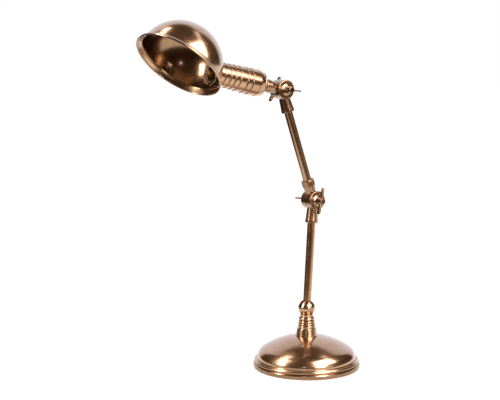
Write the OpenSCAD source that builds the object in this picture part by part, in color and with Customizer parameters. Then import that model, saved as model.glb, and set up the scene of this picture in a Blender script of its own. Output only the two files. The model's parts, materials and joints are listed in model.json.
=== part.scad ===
// Dome shade desk lamp: a weighted spun base, a turned stem with a slotted swivel
// ball, two straight arms joined by clamped knuckles with wings, a ribbed
// lampholder and a side-entry dome shade. All sizes are in millimetres.
// The origin is the centre of the base's underside, +Z is up, the arms move in
// the XZ plane, the shade is towards -X and the near ends of the clamp bolts
// point to -Y.

/* [Base] */
// Outer diameter of the base at its skirt
base_d = 165; // [140:1:200]
// Height of the skirt band, with its lower edge
skirt_h = 7; // [5:0.5:9]
// Height of the rounded bead above the skirt
base_bead_h = 5.5; // [4:0.5:8]
// How far the dome's foot stands in from the skirt
dome_inset = 5.5; // [4:0.5:9]
// Rise of the spun dome above the bead
dome_h = 36.9; // [32:0.1:46]
// Radius of the dome's shoulder
dome_shoulder_r = 20; // [14:0.5:24]
// Wall of the spun base cover
cover_wall = 1.5; // [1:0.1:2.5]
// Thickness of the felt pad
felt_h = 2; // [1.5:0.1:3]
// Thickness of the iron weight's outer disc
weight_rim_h = 11; // [8:0.5:12]
// Height of the iron weight's conical part
weight_cone_h = 23; // [18:0.5:24]
// Bore of the cord bushing in the back of the base
cord_bore_d = 6.4; // [5:0.1:7]

/* [Stem] */
// Diameter of the stem cone at its foot
cone_foot_d = 34.5; // [32:0.5:40]
// Diameter of the stem cone at its top
cone_top_d = 30.2; // [29:0.1:31]
// Height of the stem cone
cone_h = 12; // [10:0.1:20]
// Height of each of the three turned rings on the column
ring_pitch = 3.7; // [3:0.1:5]
// Diameter over the lowest turned ring
ring_d = 27.6; // [26.6:0.1:29]
// How much each ring is smaller across than the one below
ring_step = 1; // [0.2:0.1:1.2]
// Diameter over the round bead above the rings
stem_bead_d = 25.2; // [24.4:0.1:28]
// Height of the round bead
stem_bead_h = 5.6; // [4.5:0.1:7]
// Height of the hollow neck under the ball
neck_h = 3.4; // [2.5:0.1:5]
// Diameter of the neck's top, which carries the ball
neck_d = 20; // [19.4:0.1:22]
// Diameter of the threaded tube that clamps the base together
nipple_d = 10; // [9:0.1:11]
// Bore of that threaded tube, for the wires
nipple_bore_d = 7; // [5:0.1:7.6]

/* [Swivel ball] */
// Diameter of the swivel ball
ball_d = 26.7; // [25.6:0.1:29]
// Diameter of the ball's flat seat on the neck
ball_seat_d = 18; // [16:0.1:19]
// Width of the slot in the ball
slot_w = 6.6; // [5.6:0.1:8]
// Angle from upright at which the slot ends, on each side
slot_angle = 75; // [65:1:78]
// Diameter of the pivot pin in the ball
pin_d = 5; // [4:0.1:6]
// Diameter of the eye of the tilt lug
lug_eye_d = 15; // [13:0.1:15.6]
// Width of the tilt lug's blade
lug_blade_w = 8; // [6:0.1:9]
// Diameter of the spigot on which the ball swivels
spigot_d = 9.6; // [8:0.1:10]

/* [Arms] */
// Outer diameter of both arm tubes
tube_d = 12.7; // [10:0.1:15]
// Wall of both arm tubes
tube_wall = 1.2; // [0.8:0.1:2]
// Length of the lower arm, from the ball's centre to the elbow
lower_arm_l = 168; // [120:1:260]
// Length of the upper arm, from the elbow to the wrist
upper_arm_l = 180; // [120:1:260]
// Lean of the lower arm, away from the shade
lower_lean = 3.6; // [-20:0.1:30]
// Lean of the upper arm, towards the shade
upper_lean = 19.2; // [0:0.1:40]
// Rise of the lampholder's axis above level
head_rise = 12.5; // [0:0.1:30]

/* [Knuckles] */
// Diameter of a knuckle's disc
disc_d = 28.8; // [26:0.1:34]
// Thickness of a knuckle over both halves
knuckle_t = 24; // [22:0.2:30]
// Thickness of the friction washer between the halves
friction_t = 0.8; // [0.5:0.1:1.5]
// Diameter of the clamp bolt
bolt_d = 6; // [5:0.1:8]
// Diameter of a boss where it leaves the disc
boss_d = 16.6; // [16:0.1:18]
// Diameter of a boss at its collar
boss_end_d = 19.2; // [18:0.1:22]
// Length of a long boss, from the joint's axis to its collar
long_boss_l = 31; // [28:0.5:40]
// Length of a short boss, from the joint's axis to its collar
short_boss_l = 24; // [22:0.5:30]
// Length of the collar on a long boss
long_collar_l = 4; // [3:0.1:8]
// Length of the collar on a short boss
short_collar_l = 9.2; // [7:0.1:12]
// Diameter of the collars
collar_d = 20; // [18:0.1:23]

/* [Wings] */
// Diameter of the domed washers
washer_d = 17; // [15:0.1:20]
// Height of the domed washers
washer_h = 2.4; // [1.6:0.1:3.5]
// Reach of each wing from the bolt's axis
wing_r = 20.5; // [14:0.5:21]
// Depth of a wing along the bolt
wing_w = 7; // [5:0.1:9]
// Thickness of a wing
wing_t = 2.6; // [2:0.1:4]
// Height of the wing nut's hub
nut_hub_h = 12; // [11:0.5:16]
// How far the nut's hub stands out past its wings
nut_hub_tip = 2.4; // [0.5:0.1:3]
// Height of the wing bolt's hub
bolt_hub_h = 5; // [3:0.5:8]
// Diameter of the hubs at the washer
hub_d = 11.4; // [10:0.1:13]
// Diameter of the hubs at their outer end
hub_end_d = 9; // [8.6:0.1:10]
// Turn of the elbow's wing nut
elbow_nut_turn = 78; // [0:1:180]
// Turn of the elbow's wing bolt
elbow_bolt_turn = 172; // [0:1:180]
// Turn of the wrist's wing nut
wrist_nut_turn = 173; // [0:1:180]
// Turn of the wrist's wing bolt
wrist_bolt_turn = 63; // [0:1:180]

/* [Lampholder] */
// Radius of the round cap behind the lampholder
cap_r = 20; // [19:0.1:23]
// Wall of the cap
cap_wall = 1.6; // [1.2:0.1:2.4]
// Diameter over the first, widest rib
rib_d = 39.6; // [38.6:0.1:44]
// How much each following rib is smaller across
rib_step = 0.85; // [0.2:0.05:0.9]
// Width of the grooves between the ribs
groove_w = 1.2; // [0.8:0.1:1.6]
// Depth of the grooves
groove_depth = 1.3; // [0.6:0.1:1.4]
// Length of the first rib, next to the cap
rib_a_l = 14.4; // [12:0.1:18]
// Length of the second rib
rib_b_l = 9; // [7:0.1:12]
// Length of the third rib
rib_c_l = 12.5; // [10:0.1:16]
// Length of each of the two threaded clamp rings
clamp_ring_l = 8.4; // [7:0.1:10]
// Diameter of the lampholder's threaded nose
nose_d = 31.4; // [31:0.1:32]
// Bore of the lampholder cover
cover_bore_d = 29.2; // [28.8:0.1:29.4]
// Inner diameter of the screw shell, for a medium screw bulb
shell_bore_d = 26.2; // [25.4:0.1:26.4]
// Wall of the screw shell
shell_wall = 0.4; // [0.3:0.05:0.5]
// Depth of the screw shell
shell_l = 48; // [40:0.5:52]

/* [Shade] */
// Radius of the dome
shade_r = 62; // [58:0.5:75]
// Wall of the dome
shade_wall = 1.2; // [0.8:0.1:2]
// Outer diameter over the rolled rim
rim_d = 135; // [128:1:160]
// Depth of the rim's plane below the dome's centre
rim_drop = 2.8; // [0:0.1:6]
// Height of the flared band between the rim and the step
flare_h = 6.4; // [5:0.1:9]
// Diameter of the rolled bead at the rim
rim_bead_d = 2.8; // [2:0.1:4]
// Length of the collar's last rib, which seats the dome
seat_rib_l = 9.4; // [8:0.1:16]
// Angle between the lampholder's axis and the dome's own axis
shade_tilt = 117.5; // [105:0.5:130]
// Turn of the shade on the lampholder
shade_twist = 8; // [-20:1:20]
// Height of the ring nut inside the dome
ring_nut_h = 4; // [3:0.1:6]

/* [Clearances] */
// Radial clearance of a pin or spigot that turns in its bore
running = 0.05; // [0.02:0.01:0.1]
// Gap between turning pieces that don't bear on each other
free_gap = 0.3; // [0.2:0.05:0.5]
// Radial clearance of a bolt or tube through a plain hole
hole_gap = 0.1; // [0.05:0.01:0.2]

/* [Hidden] */
$fn = 96;

// Finishes
brass = "#9a6f3f";
dark_brass = "#5f4226";
bright_brass = "#c2975c";
iron = "#3a3a3c";
felt = "#2c4a35";
rubber = "#222222";
porcelain = "#e9e4d8";
steel = "#8d8f92";
fibre = "#4a3527";

// A length that every cutting solid reaches past the piece it cuts
over = 1;

// Small features
step_t = 1.2;
skirt_bulge = 9;
bead_bulge = 3.4;
ring_groove = 1.4;
ring_round = 1.6;
neck_lip = 0.9;
nipple_inset = 1.6;
cap_flat_r = 8.1;
cap_groove = 31;
cap_spigot_h = 4;
rib_edge = 0.7;
shell_eye_r = 9;
contact_r = 4.5;
contact_h = 2;
step_bead_r = 1;
bead_inset = 1.2;
bead_wall = 2.1;
dome_step_h = 1;
seat_margin = 0.5;
felt_gap = 0.2;
weight_gap = 1.5;
weight_hub_inset = 2;
shoulder_clear = 1;
bushing_lip = 2.2;
bushing_reach = 1;
ring_step_h = 1.2;
lock_clear = 0.6;
pin_inset = 0.1;
boss_clear = 0.6;
friction_inset = 1.5;
short_socket_depth = 3;
bolt_inset = 1;
wing_taper = 1;
nipple_grip = 6;
ring_nut_wall = 3.2;
insulator_lip = 1;
shell_drop = 1.5;
bore_floor = 2;
screw_room = 3;
contact_tip_r = 2.2;

// Base
base_r = base_d / 2;
skirt_z0 = 0.6;
bead_r = base_r - bead_inset;
bead_z = skirt_h + base_bead_h / 2;
dome_r = base_r - dome_inset;
dome_z = skirt_h + base_bead_h + dome_step_h;
dome_a = dome_r - dome_shoulder_r;
dome_top_r = (dome_a * dome_a + dome_h * dome_h - dome_shoulder_r * dome_shoulder_r)
    / (2 * (dome_h - dome_shoulder_r));
dome_top_z = dome_z + dome_h;
dome_centre_z = dome_top_z - dome_top_r;
seat_r = cone_foot_d / 2 + seat_margin;
seat_z = dome_centre_z + sqrt(dome_top_r * dome_top_r - seat_r * seat_r);
felt_r = base_r - cover_wall - 2 * felt_gap;
weight_r = dome_r - cover_wall - weight_gap;
weight_shoulder_r = dome_a - shoulder_clear;
weight_hub_r = cone_foot_d / 2 - weight_hub_inset;
recess_r = 13;
recess_h = 9.5;
recess_z = felt_h + recess_h;
skirt_in_r = base_r - cover_wall - felt_gap;
rim_in_r = bead_r - bead_wall;
nipple_r = nipple_d / 2;
nut_h = 5.5;
nut_af = 15;
big_washer_t = 1.6;
big_washer_r = 11;
bushing_z = bead_z - 1;
bushing_wall = 1;
bushing_r = cord_bore_d / 2 + bushing_wall;
bushing_flange_r = cord_bore_d / 2 + bushing_lip;
bushing_l = base_r - rim_in_r + bushing_reach;
bushing_flange_t = 1.2;

// Stem
cone_z0 = seat_z;
cone_z1 = cone_z0 + cone_h;
nipple_z0 = felt_h + nipple_inset;
nipple_z1 = cone_z1 - nipple_inset;
ring_base_z = cone_z1 + ring_step_h;
rings = 3;
bead_z0 = ring_base_z + rings * ring_pitch;
bead_z1 = bead_z0 + stem_bead_h;
neck_z1 = bead_z1 + neck_h;
cone_spigot_r = 9.6;
cone_spigot_h = 3.5;
cavity_r = cone_spigot_r + hole_gap;
cavity_roof = 7.5;
cavity_z1 = neck_z1 - cavity_roof;
spigot_r = spigot_d / 2;
lock_t = 1.2;
lock_nut_h = 4.4;
lock_nut_af = 13;
lock_washer_r = cavity_r - 1;
spigot_z0 = cavity_z1 - lock_t - lock_nut_h - lock_clear;

// Swivel ball
ball_r = ball_d / 2;
ball_seat_drop = sqrt(ball_r * ball_r - ball_seat_d * ball_seat_d / 4);
ball_z = neck_z1 + ball_seat_drop;
pin_r = pin_d / 2;
pin_half = sqrt(ball_r * ball_r - pin_r * pin_r) - pin_inset;
lug_side_gap = 0.2;
lug_t = slot_w - 2 * lug_side_gap;
eye_r = lug_eye_d / 2;
tube_r = tube_d / 2;
tube_bore_r = tube_r - tube_wall;
shank_l = 20;
arm_foot = ball_r + free_gap;

// Knuckles
disc_r = disc_d / 2;
half_t = knuckle_t / 2;
disc_chamfer = 1;
boss_gap_r = disc_r + boss_clear;
bolt_r = bolt_d / 2;
socket_depth = 8;
long_socket = long_boss_l - socket_depth;
short_socket = short_boss_l - short_socket_depth;
friction_r = disc_r - friction_inset;
washer_r = washer_d / 2;
washer_cap_r = (washer_r * washer_r + washer_h * washer_h) / (2 * washer_h);
hub_r = hub_d / 2;
hub_end_r = hub_end_d / 2;
collar_r = collar_d / 2;
collar_edge = 0.9;
washer_face = 0.6;
washer_flat = washer_h - washer_face;
bolt_l = knuckle_t + 2 * washer_flat + nut_hub_h - bolt_inset;

// Arm joints
elbow = [lower_arm_l * sin(lower_lean), 0, ball_z + lower_arm_l * cos(lower_lean)];
wrist = [
    elbow[0] - upper_arm_l * sin(upper_lean),
    0,
    elbow[2] + upper_arm_l * cos(upper_lean)
];
head_turn = head_rise - 90;

// Lampholder, measured along its axis from the wrist
cap_z0 = short_boss_l + short_collar_l;
cap_z1 = cap_z0 + sqrt(cap_r * cap_r - cap_flat_r * cap_flat_r);
head_nipple_l = cap_z0 - short_socket + nipple_grip;
rib_lengths = [rib_a_l, rib_b_l, rib_c_l];
rib_starts = [cap_z1, cap_z1 + rib_a_l, cap_z1 + rib_a_l + rib_b_l];
cover_z1 = cap_z1 + rib_a_l + rib_b_l + rib_c_l;
rear_ring_z1 = cover_z1 + clamp_ring_l;
front_ring_z1 = rear_ring_z1 + clamp_ring_l;
collar_z = front_ring_z1 + clamp_ring_l;
// Radius over rib number i, counted from the cap
function rib_r(i) = (rib_d - i * rib_step) / 2;
seat_rib_r = rib_r(6);
shade_reach = collar_z + seat_rib_l + sqrt(shade_r * shade_r - seat_rib_r * seat_rib_r);
nose_r = nose_d / 2;
inner_r = shade_r - shade_wall;
ring_nut_r = nose_r + ring_nut_wall;
ring_nut_z0 = shade_reach - sqrt(inner_r * inner_r - ring_nut_r * ring_nut_r) + free_gap;
nose_z1 = ring_nut_z0 + ring_nut_h;
cap_spigot_r = sqrt((cap_r - cap_wall) * (cap_r - cap_wall) - cap_spigot_h * cap_spigot_h)
    - hole_gap;
cover_bore_r = cover_bore_d / 2;
bore_z0 = cap_z1 + bore_floor;
insulator_r = cover_bore_r - hole_gap;
insulator_z1 = nose_z1 - insulator_lip;
shell_r = shell_bore_d / 2;
shell_outer_r = shell_r + shell_wall;
shell_z1 = insulator_z1 - shell_drop;
shell_z0 = shell_z1 - shell_l;
// The contact's tip is level with the floor inside the shell
contact_z0 = shell_z0 + shell_wall - contact_h;
insulator_z0 = bore_z0 + screw_room;
screw_head_r = 2.2;
screw_head_h = 1.8;
screw_place_r = 9;
shade_step_z = flare_h - rim_drop;

// Placement of a piece drawn along +Z from a joint
module along(joint, turn) {
    translate(joint) rotate([0, turn, 0]) children();
}

module at_head() {
    along(wrist, head_turn) children();
}

module at_shade() {
    translate([0, 0, shade_reach])
        rotate([0, 0, shade_twist])
            rotate([0, shade_tilt, 0])
                children();
}

// A round bar along Y, from y0 to y1
module bar_y(r, y0, y1) {
    translate([0, y1, 0]) rotate([90, 0, 0]) cylinder(r = r, h = y1 - y0);
}

// A turned ring with both edges broken, from z0 to z1
module band(r, z0, z1, edge) {
    translate([0, 0, z0]) cylinder(r1 = r - edge, r2 = r, h = edge);
    translate([0, 0, z0 + edge]) cylinder(r = r, h = z1 - z0 - 2 * edge);
    translate([0, 0, z1 - edge]) cylinder(r1 = r, r2 = r - edge, h = edge);
}

// Direction from the centre of the dome's top arc through its shoulder's centre
shoulder_dir = [dome_a, dome_z - dome_centre_z] / norm([dome_a, dome_z - dome_centre_z]);

// Outline of the spun dome, half of it, set inwards by a wall
module dome_outline(inset) {
    intersection() {
        translate([0, dome_z]) square([dome_r, dome_h + over]);
        union() {
            translate([dome_a, dome_z]) circle(r = dome_shoulder_r - inset);
            intersection() {
                translate([0, dome_centre_z]) circle(r = dome_top_r - inset);
                polygon([
                    [0, dome_centre_z],
                    [0, dome_centre_z] + 2 * dome_top_r * shoulder_dir,
                    [0, dome_centre_z + 2 * dome_top_r]
                ]);
            }
        }
    }
}

// A flat band with a slightly rounded outside, seen in section
module bulged(r_in, r_out, z0, z1, bulge_r) {
    intersection() {
        translate([r_in, z0]) square([r_out - r_in, z1 - z0]);
        translate([r_out - bulge_r, (z0 + z1) / 2]) circle(r = bulge_r);
    }
}

module hex_nut(af, h, bore_r) {
    difference() {
        cylinder(r = af / 2 / cos(30), h = h, $fn = 6);
        translate([0, 0, -over]) cylinder(r = bore_r, h = h + 2 * over);
    }
}

module washer(r, h, bore_r) {
    difference() {
        cylinder(r = r, h = h);
        translate([0, 0, -over]) cylinder(r = bore_r, h = h + 2 * over);
    }
}

// ---- Base ----

module cover_section() {
    // skirt band and the bead above it
    bulged(skirt_in_r, base_r, skirt_z0, skirt_h, skirt_bulge);
    bulged(rim_in_r, bead_r, skirt_h, skirt_h + base_bead_h, bead_bulge);
    // inner wall that carries both, and the step up to the dome
    translate([rim_in_r, skirt_h - step_t]) square([skirt_in_r + over - rim_in_r, step_t]);
    translate([rim_in_r, skirt_h - step_t]) square([step_t, dome_z - skirt_h + step_t]);
    translate([dome_r - cover_wall, dome_z - step_t])
        square([rim_in_r + step_t - dome_r + cover_wall, step_t]);
    difference() {
        dome_outline(0);
        dome_outline(cover_wall);
    }
    // flat seat under the stem
    translate([0, seat_z - cover_wall]) square([seat_r + over, cover_wall]);
}

module base_cover() {
    color(brass)
        difference() {
            rotate_extrude() intersection() {
                cover_section();
                square([base_r + over, seat_z]);
            }
            translate([0, 0, seat_z - 2 * cover_wall])
                cylinder(r = nipple_r + hole_gap, h = 3 * cover_wall);
            translate([dome_r - over, 0, bushing_z])
                rotate([0, 90, 0])
                    cylinder(r = bushing_r + hole_gap, h = base_r - dome_r + 2 * over);
        }
}

module base_weight() {
    color(iron)
        difference() {
            union() {
                translate([0, 0, felt_h]) cylinder(r = weight_r, h = weight_rim_h);
                translate([0, 0, felt_h + weight_rim_h])
                    cylinder(r1 = weight_shoulder_r, r2 = weight_hub_r, h = weight_cone_h);
                translate([0, 0, felt_h])
                    cylinder(r = weight_hub_r, h = seat_z - cover_wall - felt_h);
            }
            translate([0, 0, felt_h - over])
                cylinder(r = recess_r, h = recess_h + over);
            cylinder(r = nipple_r + hole_gap, h = seat_z);
        }
}

module base_felt() {
    color(felt) cylinder(r = felt_r, h = felt_h);
}

module threaded_nipple() {
    color(steel)
        translate([0, 0, nipple_z0])
            difference() {
                cylinder(r = nipple_r, h = nipple_z1 - nipple_z0);
                translate([0, 0, -over])
                    cylinder(d = nipple_bore_d, h = nipple_z1 - nipple_z0 + 2 * over);
            }
}

module nipple_washer() {
    color(steel)
        translate([0, 0, recess_z - big_washer_t])
            washer(big_washer_r, big_washer_t, nipple_r + hole_gap);
}

module nipple_nut() {
    color(steel)
        translate([0, 0, recess_z - big_washer_t - nut_h])
            hex_nut(nut_af, nut_h, nipple_r + hole_gap);
}

module cord_bushing() {
    color(rubber)
        translate([base_r - bushing_l, 0, bushing_z])
            rotate([0, 90, 0])
                difference() {
                    union() {
                        cylinder(r = bushing_r, h = bushing_l);
                        translate([0, 0, bushing_l])
                            cylinder(r = bushing_flange_r, h = bushing_flange_t);
                    }
                    translate([0, 0, -over])
                        cylinder(d = cord_bore_d, h = bushing_l + bushing_flange_t + 2 * over);
                }
}

// ---- Stem ----

module stem_cone() {
    color(brass)
        difference() {
            union() {
                translate([0, 0, cone_z0])
                    cylinder(d1 = cone_foot_d, d2 = cone_top_d, h = cone_h);
                translate([0, 0, cone_z0])
                    cylinder(r = cone_spigot_r, h = cone_h + cone_spigot_h);
            }
            translate([0, 0, cone_z0 - over])
                cylinder(r = nipple_r + hole_gap, h = nipple_z1 - cone_z0 + over);
            cylinder(d = nipple_bore_d, h = cone_z1 + cone_spigot_h + over);
        }
}

// Radius over turned ring number i, counted from below
function ring_r(i) = (ring_d - i * ring_step) / 2;

module column_section() {
    translate([0, cone_z1]) square([ring_r(0) - ring_groove, ring_base_z - cone_z1]);
    for (i = [0 : rings - 1]) {
        translate([0, ring_base_z + i * ring_pitch])
            square([ring_r(i) - ring_groove, ring_pitch]);
        translate([ring_r(i) - ring_round, ring_base_z + (i + 0.5) * ring_pitch])
            circle(r = ring_round);
    }
    translate([0, bead_z0]) square([stem_bead_d / 2 - stem_bead_h / 2, stem_bead_h]);
    translate([stem_bead_d / 2 - stem_bead_h / 2, bead_z0 + stem_bead_h / 2])
        circle(r = stem_bead_h / 2);
    translate([0, bead_z1]) square([neck_d / 2 + neck_lip, neck_lip]);
    translate([0, bead_z1]) square([neck_d / 2, neck_h]);
}

module stem_column() {
    color(brass)
        difference() {
            rotate_extrude() column_section();
            translate([0, 0, cone_z1 - over])
                cylinder(r = cavity_r, h = cavity_z1 - cone_z1 + over);
            cylinder(r = spigot_r + running, h = neck_z1 + over);
        }
}

// ---- Swivel ball ----

module ball_slot() {
    rotate([90, 0, 0])
        linear_extrude(height = slot_w, center = true) {
            circle(r = eye_r + free_gap);
            polygon([
                [0, 0],
                2 * ball_r * [sin(slot_angle), cos(slot_angle)],
                2 * ball_r * [sin(slot_angle), 1],
                2 * ball_r * [-sin(slot_angle), 1],
                2 * ball_r * [-sin(slot_angle), cos(slot_angle)]
            ]);
        }
}

module swivel_ball() {
    color(brass)
        translate([0, 0, ball_z])
            difference() {
                union() {
                    intersection() {
                        sphere(r = ball_r);
                        translate([0, 0, ball_r - ball_seat_drop])
                            cube(2 * ball_r, center = true);
                    }
                    translate([0, 0, spigot_z0 - ball_z])
                        cylinder(r = spigot_r, h = ball_z - ball_seat_drop - spigot_z0 + over);
                }
                ball_slot();
                bar_y(pin_r, -ball_r, ball_r);
            }
}

module tilt_pin() {
    color(dark_brass) translate([0, 0, ball_z]) bar_y(pin_r, -pin_half, pin_half);
}

module swivel_washer() {
    color(steel)
        translate([0, 0, cavity_z1 - lock_t])
            washer(lock_washer_r, lock_t, spigot_r + hole_gap);
}

module swivel_nut() {
    color(steel)
        translate([0, 0, cavity_z1 - lock_t - lock_nut_h])
            hex_nut(lock_nut_af, lock_nut_h, spigot_r + hole_gap);
}

// ---- Lower arm ----

module tilt_lug() {
    color(brass)
        along([0, 0, ball_z], lower_lean)
            difference() {
                union() {
                    bar_y(eye_r, -lug_t / 2, lug_t / 2);
                    translate([-lug_blade_w / 2, -lug_t / 2, 0])
                        cube([lug_blade_w, lug_t, arm_foot + over]);
                    translate([0, 0, arm_foot]) cylinder(r = tube_bore_r, h = shank_l);
                }
                bar_y(pin_r + running, -lug_t, lug_t);
            }
}

module tube(z0, z1) {
    translate([0, 0, z0])
        difference() {
            cylinder(r = tube_r, h = z1 - z0);
            translate([0, 0, -over]) cylinder(r = tube_bore_r, h = z1 - z0 + 2 * over);
        }
}

module lower_arm_tube() {
    color(brass)
        along([0, 0, ball_z], lower_lean)
            difference() {
                tube(ball_seat_drop, lower_arm_l - long_socket);
                sphere(r = arm_foot);
            }
}

// ---- Knuckles ----

// One half of a knuckle, its joint's axis along Y and its boss along +Z.
// side is -1 for the near half and 1 for the far one.
module knuckle_half(side, boss_l, collar_l, socket_z0, socket_r) {
    difference() {
        union() {
            rotate([-side * 90, 0, 0]) {
                translate([0, 0, friction_t / 2])
                    cylinder(r = disc_r, h = half_t - friction_t / 2 - disc_chamfer);
                translate([0, 0, half_t - disc_chamfer])
                    cylinder(r1 = disc_r, r2 = disc_r - disc_chamfer, h = disc_chamfer);
            }
            cylinder(d = boss_d, h = disc_r);
            translate([0, 0, disc_r])
                cylinder(d1 = boss_d, d2 = boss_end_d, h = boss_l - disc_r);
            band(collar_r, boss_l, boss_l + collar_l, collar_edge);
        }
        rotate([side * 90, 0, 0])
            translate([0, 0, -friction_t / 2])
                cylinder(r = boss_gap_r, h = half_t + friction_t);
        bar_y(bolt_r + hole_gap, -half_t - over, half_t + over);
        translate([0, 0, socket_z0])
            cylinder(r = socket_r + hole_gap, h = boss_l + collar_l - socket_z0 + over);
    }
}

module friction_washer() {
    color(fibre)
        translate([0, friction_t / 2, 0])
            rotate([90, 0, 0])
                washer(friction_r, friction_t, bolt_r + hole_gap);
}

// A domed washer on the near (-1) or far (1) face, with a flat for the hub
module domed_washer(side) {
    color(dark_brass)
        rotate([-side * 90, 0, 0])
            translate([0, 0, half_t])
                difference() {
                    rotate_extrude() intersection() {
                        translate([0, washer_h - washer_cap_r]) circle(r = washer_cap_r);
                        square([washer_r, washer_flat]);
                    }
                    translate([0, 0, -over])
                        cylinder(r = bolt_r + hole_gap, h = washer_h + 2 * over);
                }
}

// Outline of one wing, out from the bolt's axis and up from z0
module wing_outline(z0) {
    tip = wing_r - wing_w / 2;
    polygon([
        [0, z0 + wing_taper],
        [tip, z0],
        [tip, z0 + wing_w],
        [0, z0 + wing_w - wing_taper]
    ]);
    translate([tip, z0 + wing_w / 2]) circle(r = wing_w / 2);
}

module wings(z0) {
    rotate([90, 0, 0])
        linear_extrude(height = wing_t, center = true)
            for (end = [0, 1])
                mirror([end, 0]) wing_outline(z0);
}

module wing_nut(turn) {
    color(bright_brass)
        rotate([90, 0, 0])
            translate([0, 0, half_t + washer_flat])
                rotate([0, 0, turn])
                    difference() {
                        union() {
                            cylinder(r1 = hub_r, r2 = hub_end_r, h = nut_hub_h);
                            wings(nut_hub_h - nut_hub_tip - wing_w);
                        }
                        translate([0, 0, -over])
                            cylinder(r = bolt_r + running, h = nut_hub_h + 2 * over);
                    }
}

module wing_bolt(turn) {
    color(bright_brass)
        rotate([-90, 0, 0])
            translate([0, 0, half_t + washer_flat])
                rotate([0, 0, -turn]) {
                    cylinder(r1 = hub_r, r2 = hub_end_r, h = bolt_hub_h);
                    wings(washer_face);
                    translate([0, 0, -bolt_l]) cylinder(r = bolt_r, h = bolt_l + over);
                }
}

module elbow_near_half() {
    color(brass)
        along(elbow, lower_lean + 180)
            knuckle_half(-1, long_boss_l, long_collar_l, long_socket, tube_r);
}

module elbow_far_half() {
    color(brass)
        along(elbow, -upper_lean)
            knuckle_half(1, short_boss_l, short_collar_l, short_socket, tube_r);
}

module wrist_near_half() {
    color(brass)
        along(wrist, 180 - upper_lean)
            knuckle_half(-1, long_boss_l, long_collar_l, long_socket, tube_r);
}

module wrist_far_half() {
    color(brass)
        at_head() knuckle_half(1, short_boss_l, short_collar_l, short_socket, nipple_r);
}

module elbow_friction_washer() {
    translate(elbow) friction_washer();
}

module wrist_friction_washer() {
    translate(wrist) friction_washer();
}

module elbow_near_washer() {
    translate(elbow) domed_washer(-1);
}

module elbow_far_washer() {
    translate(elbow) domed_washer(1);
}

module wrist_near_washer() {
    translate(wrist) domed_washer(-1);
}

module wrist_far_washer() {
    translate(wrist) domed_washer(1);
}

module elbow_wing_nut() {
    translate(elbow) wing_nut(elbow_nut_turn);
}

module elbow_wing_bolt() {
    translate(elbow) wing_bolt(elbow_bolt_turn);
}

module wrist_wing_nut() {
    translate(wrist) wing_nut(wrist_nut_turn);
}

module wrist_wing_bolt() {
    translate(wrist) wing_bolt(wrist_bolt_turn);
}

// ---- Upper arm ----

module upper_arm_tube() {
    color(brass)
        along(elbow, -upper_lean) tube(short_socket, upper_arm_l - long_socket);
}

// ---- Lampholder ----

module head_nipple() {
    color(steel)
        at_head()
            translate([0, 0, short_socket])
                difference() {
                    cylinder(r = nipple_r, h = head_nipple_l);
                    translate([0, 0, -over])
                        cylinder(d = nipple_bore_d, h = head_nipple_l + 2 * over);
                }
}

module lampholder_cap() {
    color(brass)
        at_head()
            difference() {
                rotate_extrude() {
                    difference() {
                        intersection() {
                            translate([0, cap_z1]) circle(r = cap_r);
                            translate([0, cap_z0]) square([cap_r, cap_z1 - cap_z0]);
                        }
                        translate([0, cap_z1]) circle(r = cap_r - cap_wall);
                        translate([0, cap_z1] + cap_r * [cos(cap_groove), -sin(cap_groove)])
                            circle(r = cap_wall / 2);
                    }
                    translate([0, cap_z0]) square([cap_flat_r, 2 * cap_wall]);
                }
                translate([0, 0, cap_z0 - over])
                    cylinder(r = nipple_r + hole_gap, h = 2 * cap_wall + 2 * over);
            }
}

// A rib with its edges broken, and the groove in front of it
module rib(i, z0, l) {
    band(rib_r(i), z0, z0 + l - groove_w, rib_edge);
    translate([0, 0, z0]) cylinder(r = rib_r(i) - groove_depth, h = l);
}

module lampholder_cover() {
    color(brass)
        at_head()
            difference() {
                union() {
                    for (i = [0 : len(rib_starts) - 1])
                        rib(i, rib_starts[i], rib_lengths[i]);
                    translate([0, 0, cap_z1 - cap_spigot_h])
                        cylinder(r = cap_spigot_r, h = cap_spigot_h);
                    translate([0, 0, cap_z1]) cylinder(r = nose_r, h = nose_z1 - cap_z1);
                }
                translate([0, 0, cap_z1 - cap_spigot_h - over])
                    cylinder(r = cover_bore_r, h = nose_z1 - cap_z1 + cap_spigot_h + 2 * over);
            }
}

module clamp_ring(i, z0) {
    color(brass)
        at_head()
            difference() {
                rib(i, z0, clamp_ring_l);
                translate([0, 0, z0 - over])
                    cylinder(r = nose_r + hole_gap, h = clamp_ring_l + 2 * over);
            }
}

module clamp_ring_rear() {
    clamp_ring(3, cover_z1);
}

module clamp_ring_front() {
    clamp_ring(4, rear_ring_z1);
}

module lampholder_insulator() {
    color(porcelain)
        at_head()
            difference() {
                translate([0, 0, insulator_z0])
                    cylinder(r = insulator_r, h = insulator_z1 - insulator_z0);
                translate([0, 0, shell_z0])
                    cylinder(r = shell_outer_r + hole_gap, h = insulator_z1 - shell_z0 + over);
                // seat of the centre contact
                translate([0, 0, contact_z0])
                    cylinder(r = contact_r + hole_gap, h = insulator_z1 - contact_z0);
            }
}

module screw_shell() {
    color(bright_brass)
        at_head()
            translate([0, 0, shell_z0])
                difference() {
                    cylinder(r = shell_outer_r, h = shell_l);
                    translate([0, 0, shell_wall]) cylinder(r = shell_r, h = shell_l);
                    translate([0, 0, -over]) cylinder(r = shell_eye_r, h = shell_l);
                }
}

module centre_contact() {
    color(bright_brass)
        at_head()
            translate([0, 0, contact_z0]) {
                cylinder(r = contact_r, h = shell_wall);
                cylinder(r1 = contact_tip_r, r2 = contact_tip_r / 2, h = contact_h);
            }
}

module terminal_screws() {
    color(bright_brass)
        at_head()
            for (side = [-1, 1])
                translate([0, side * screw_place_r, insulator_z0 - screw_head_h])
                    cylinder(r = screw_head_r, h = screw_head_h);
}

// ---- Shade ----

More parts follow.
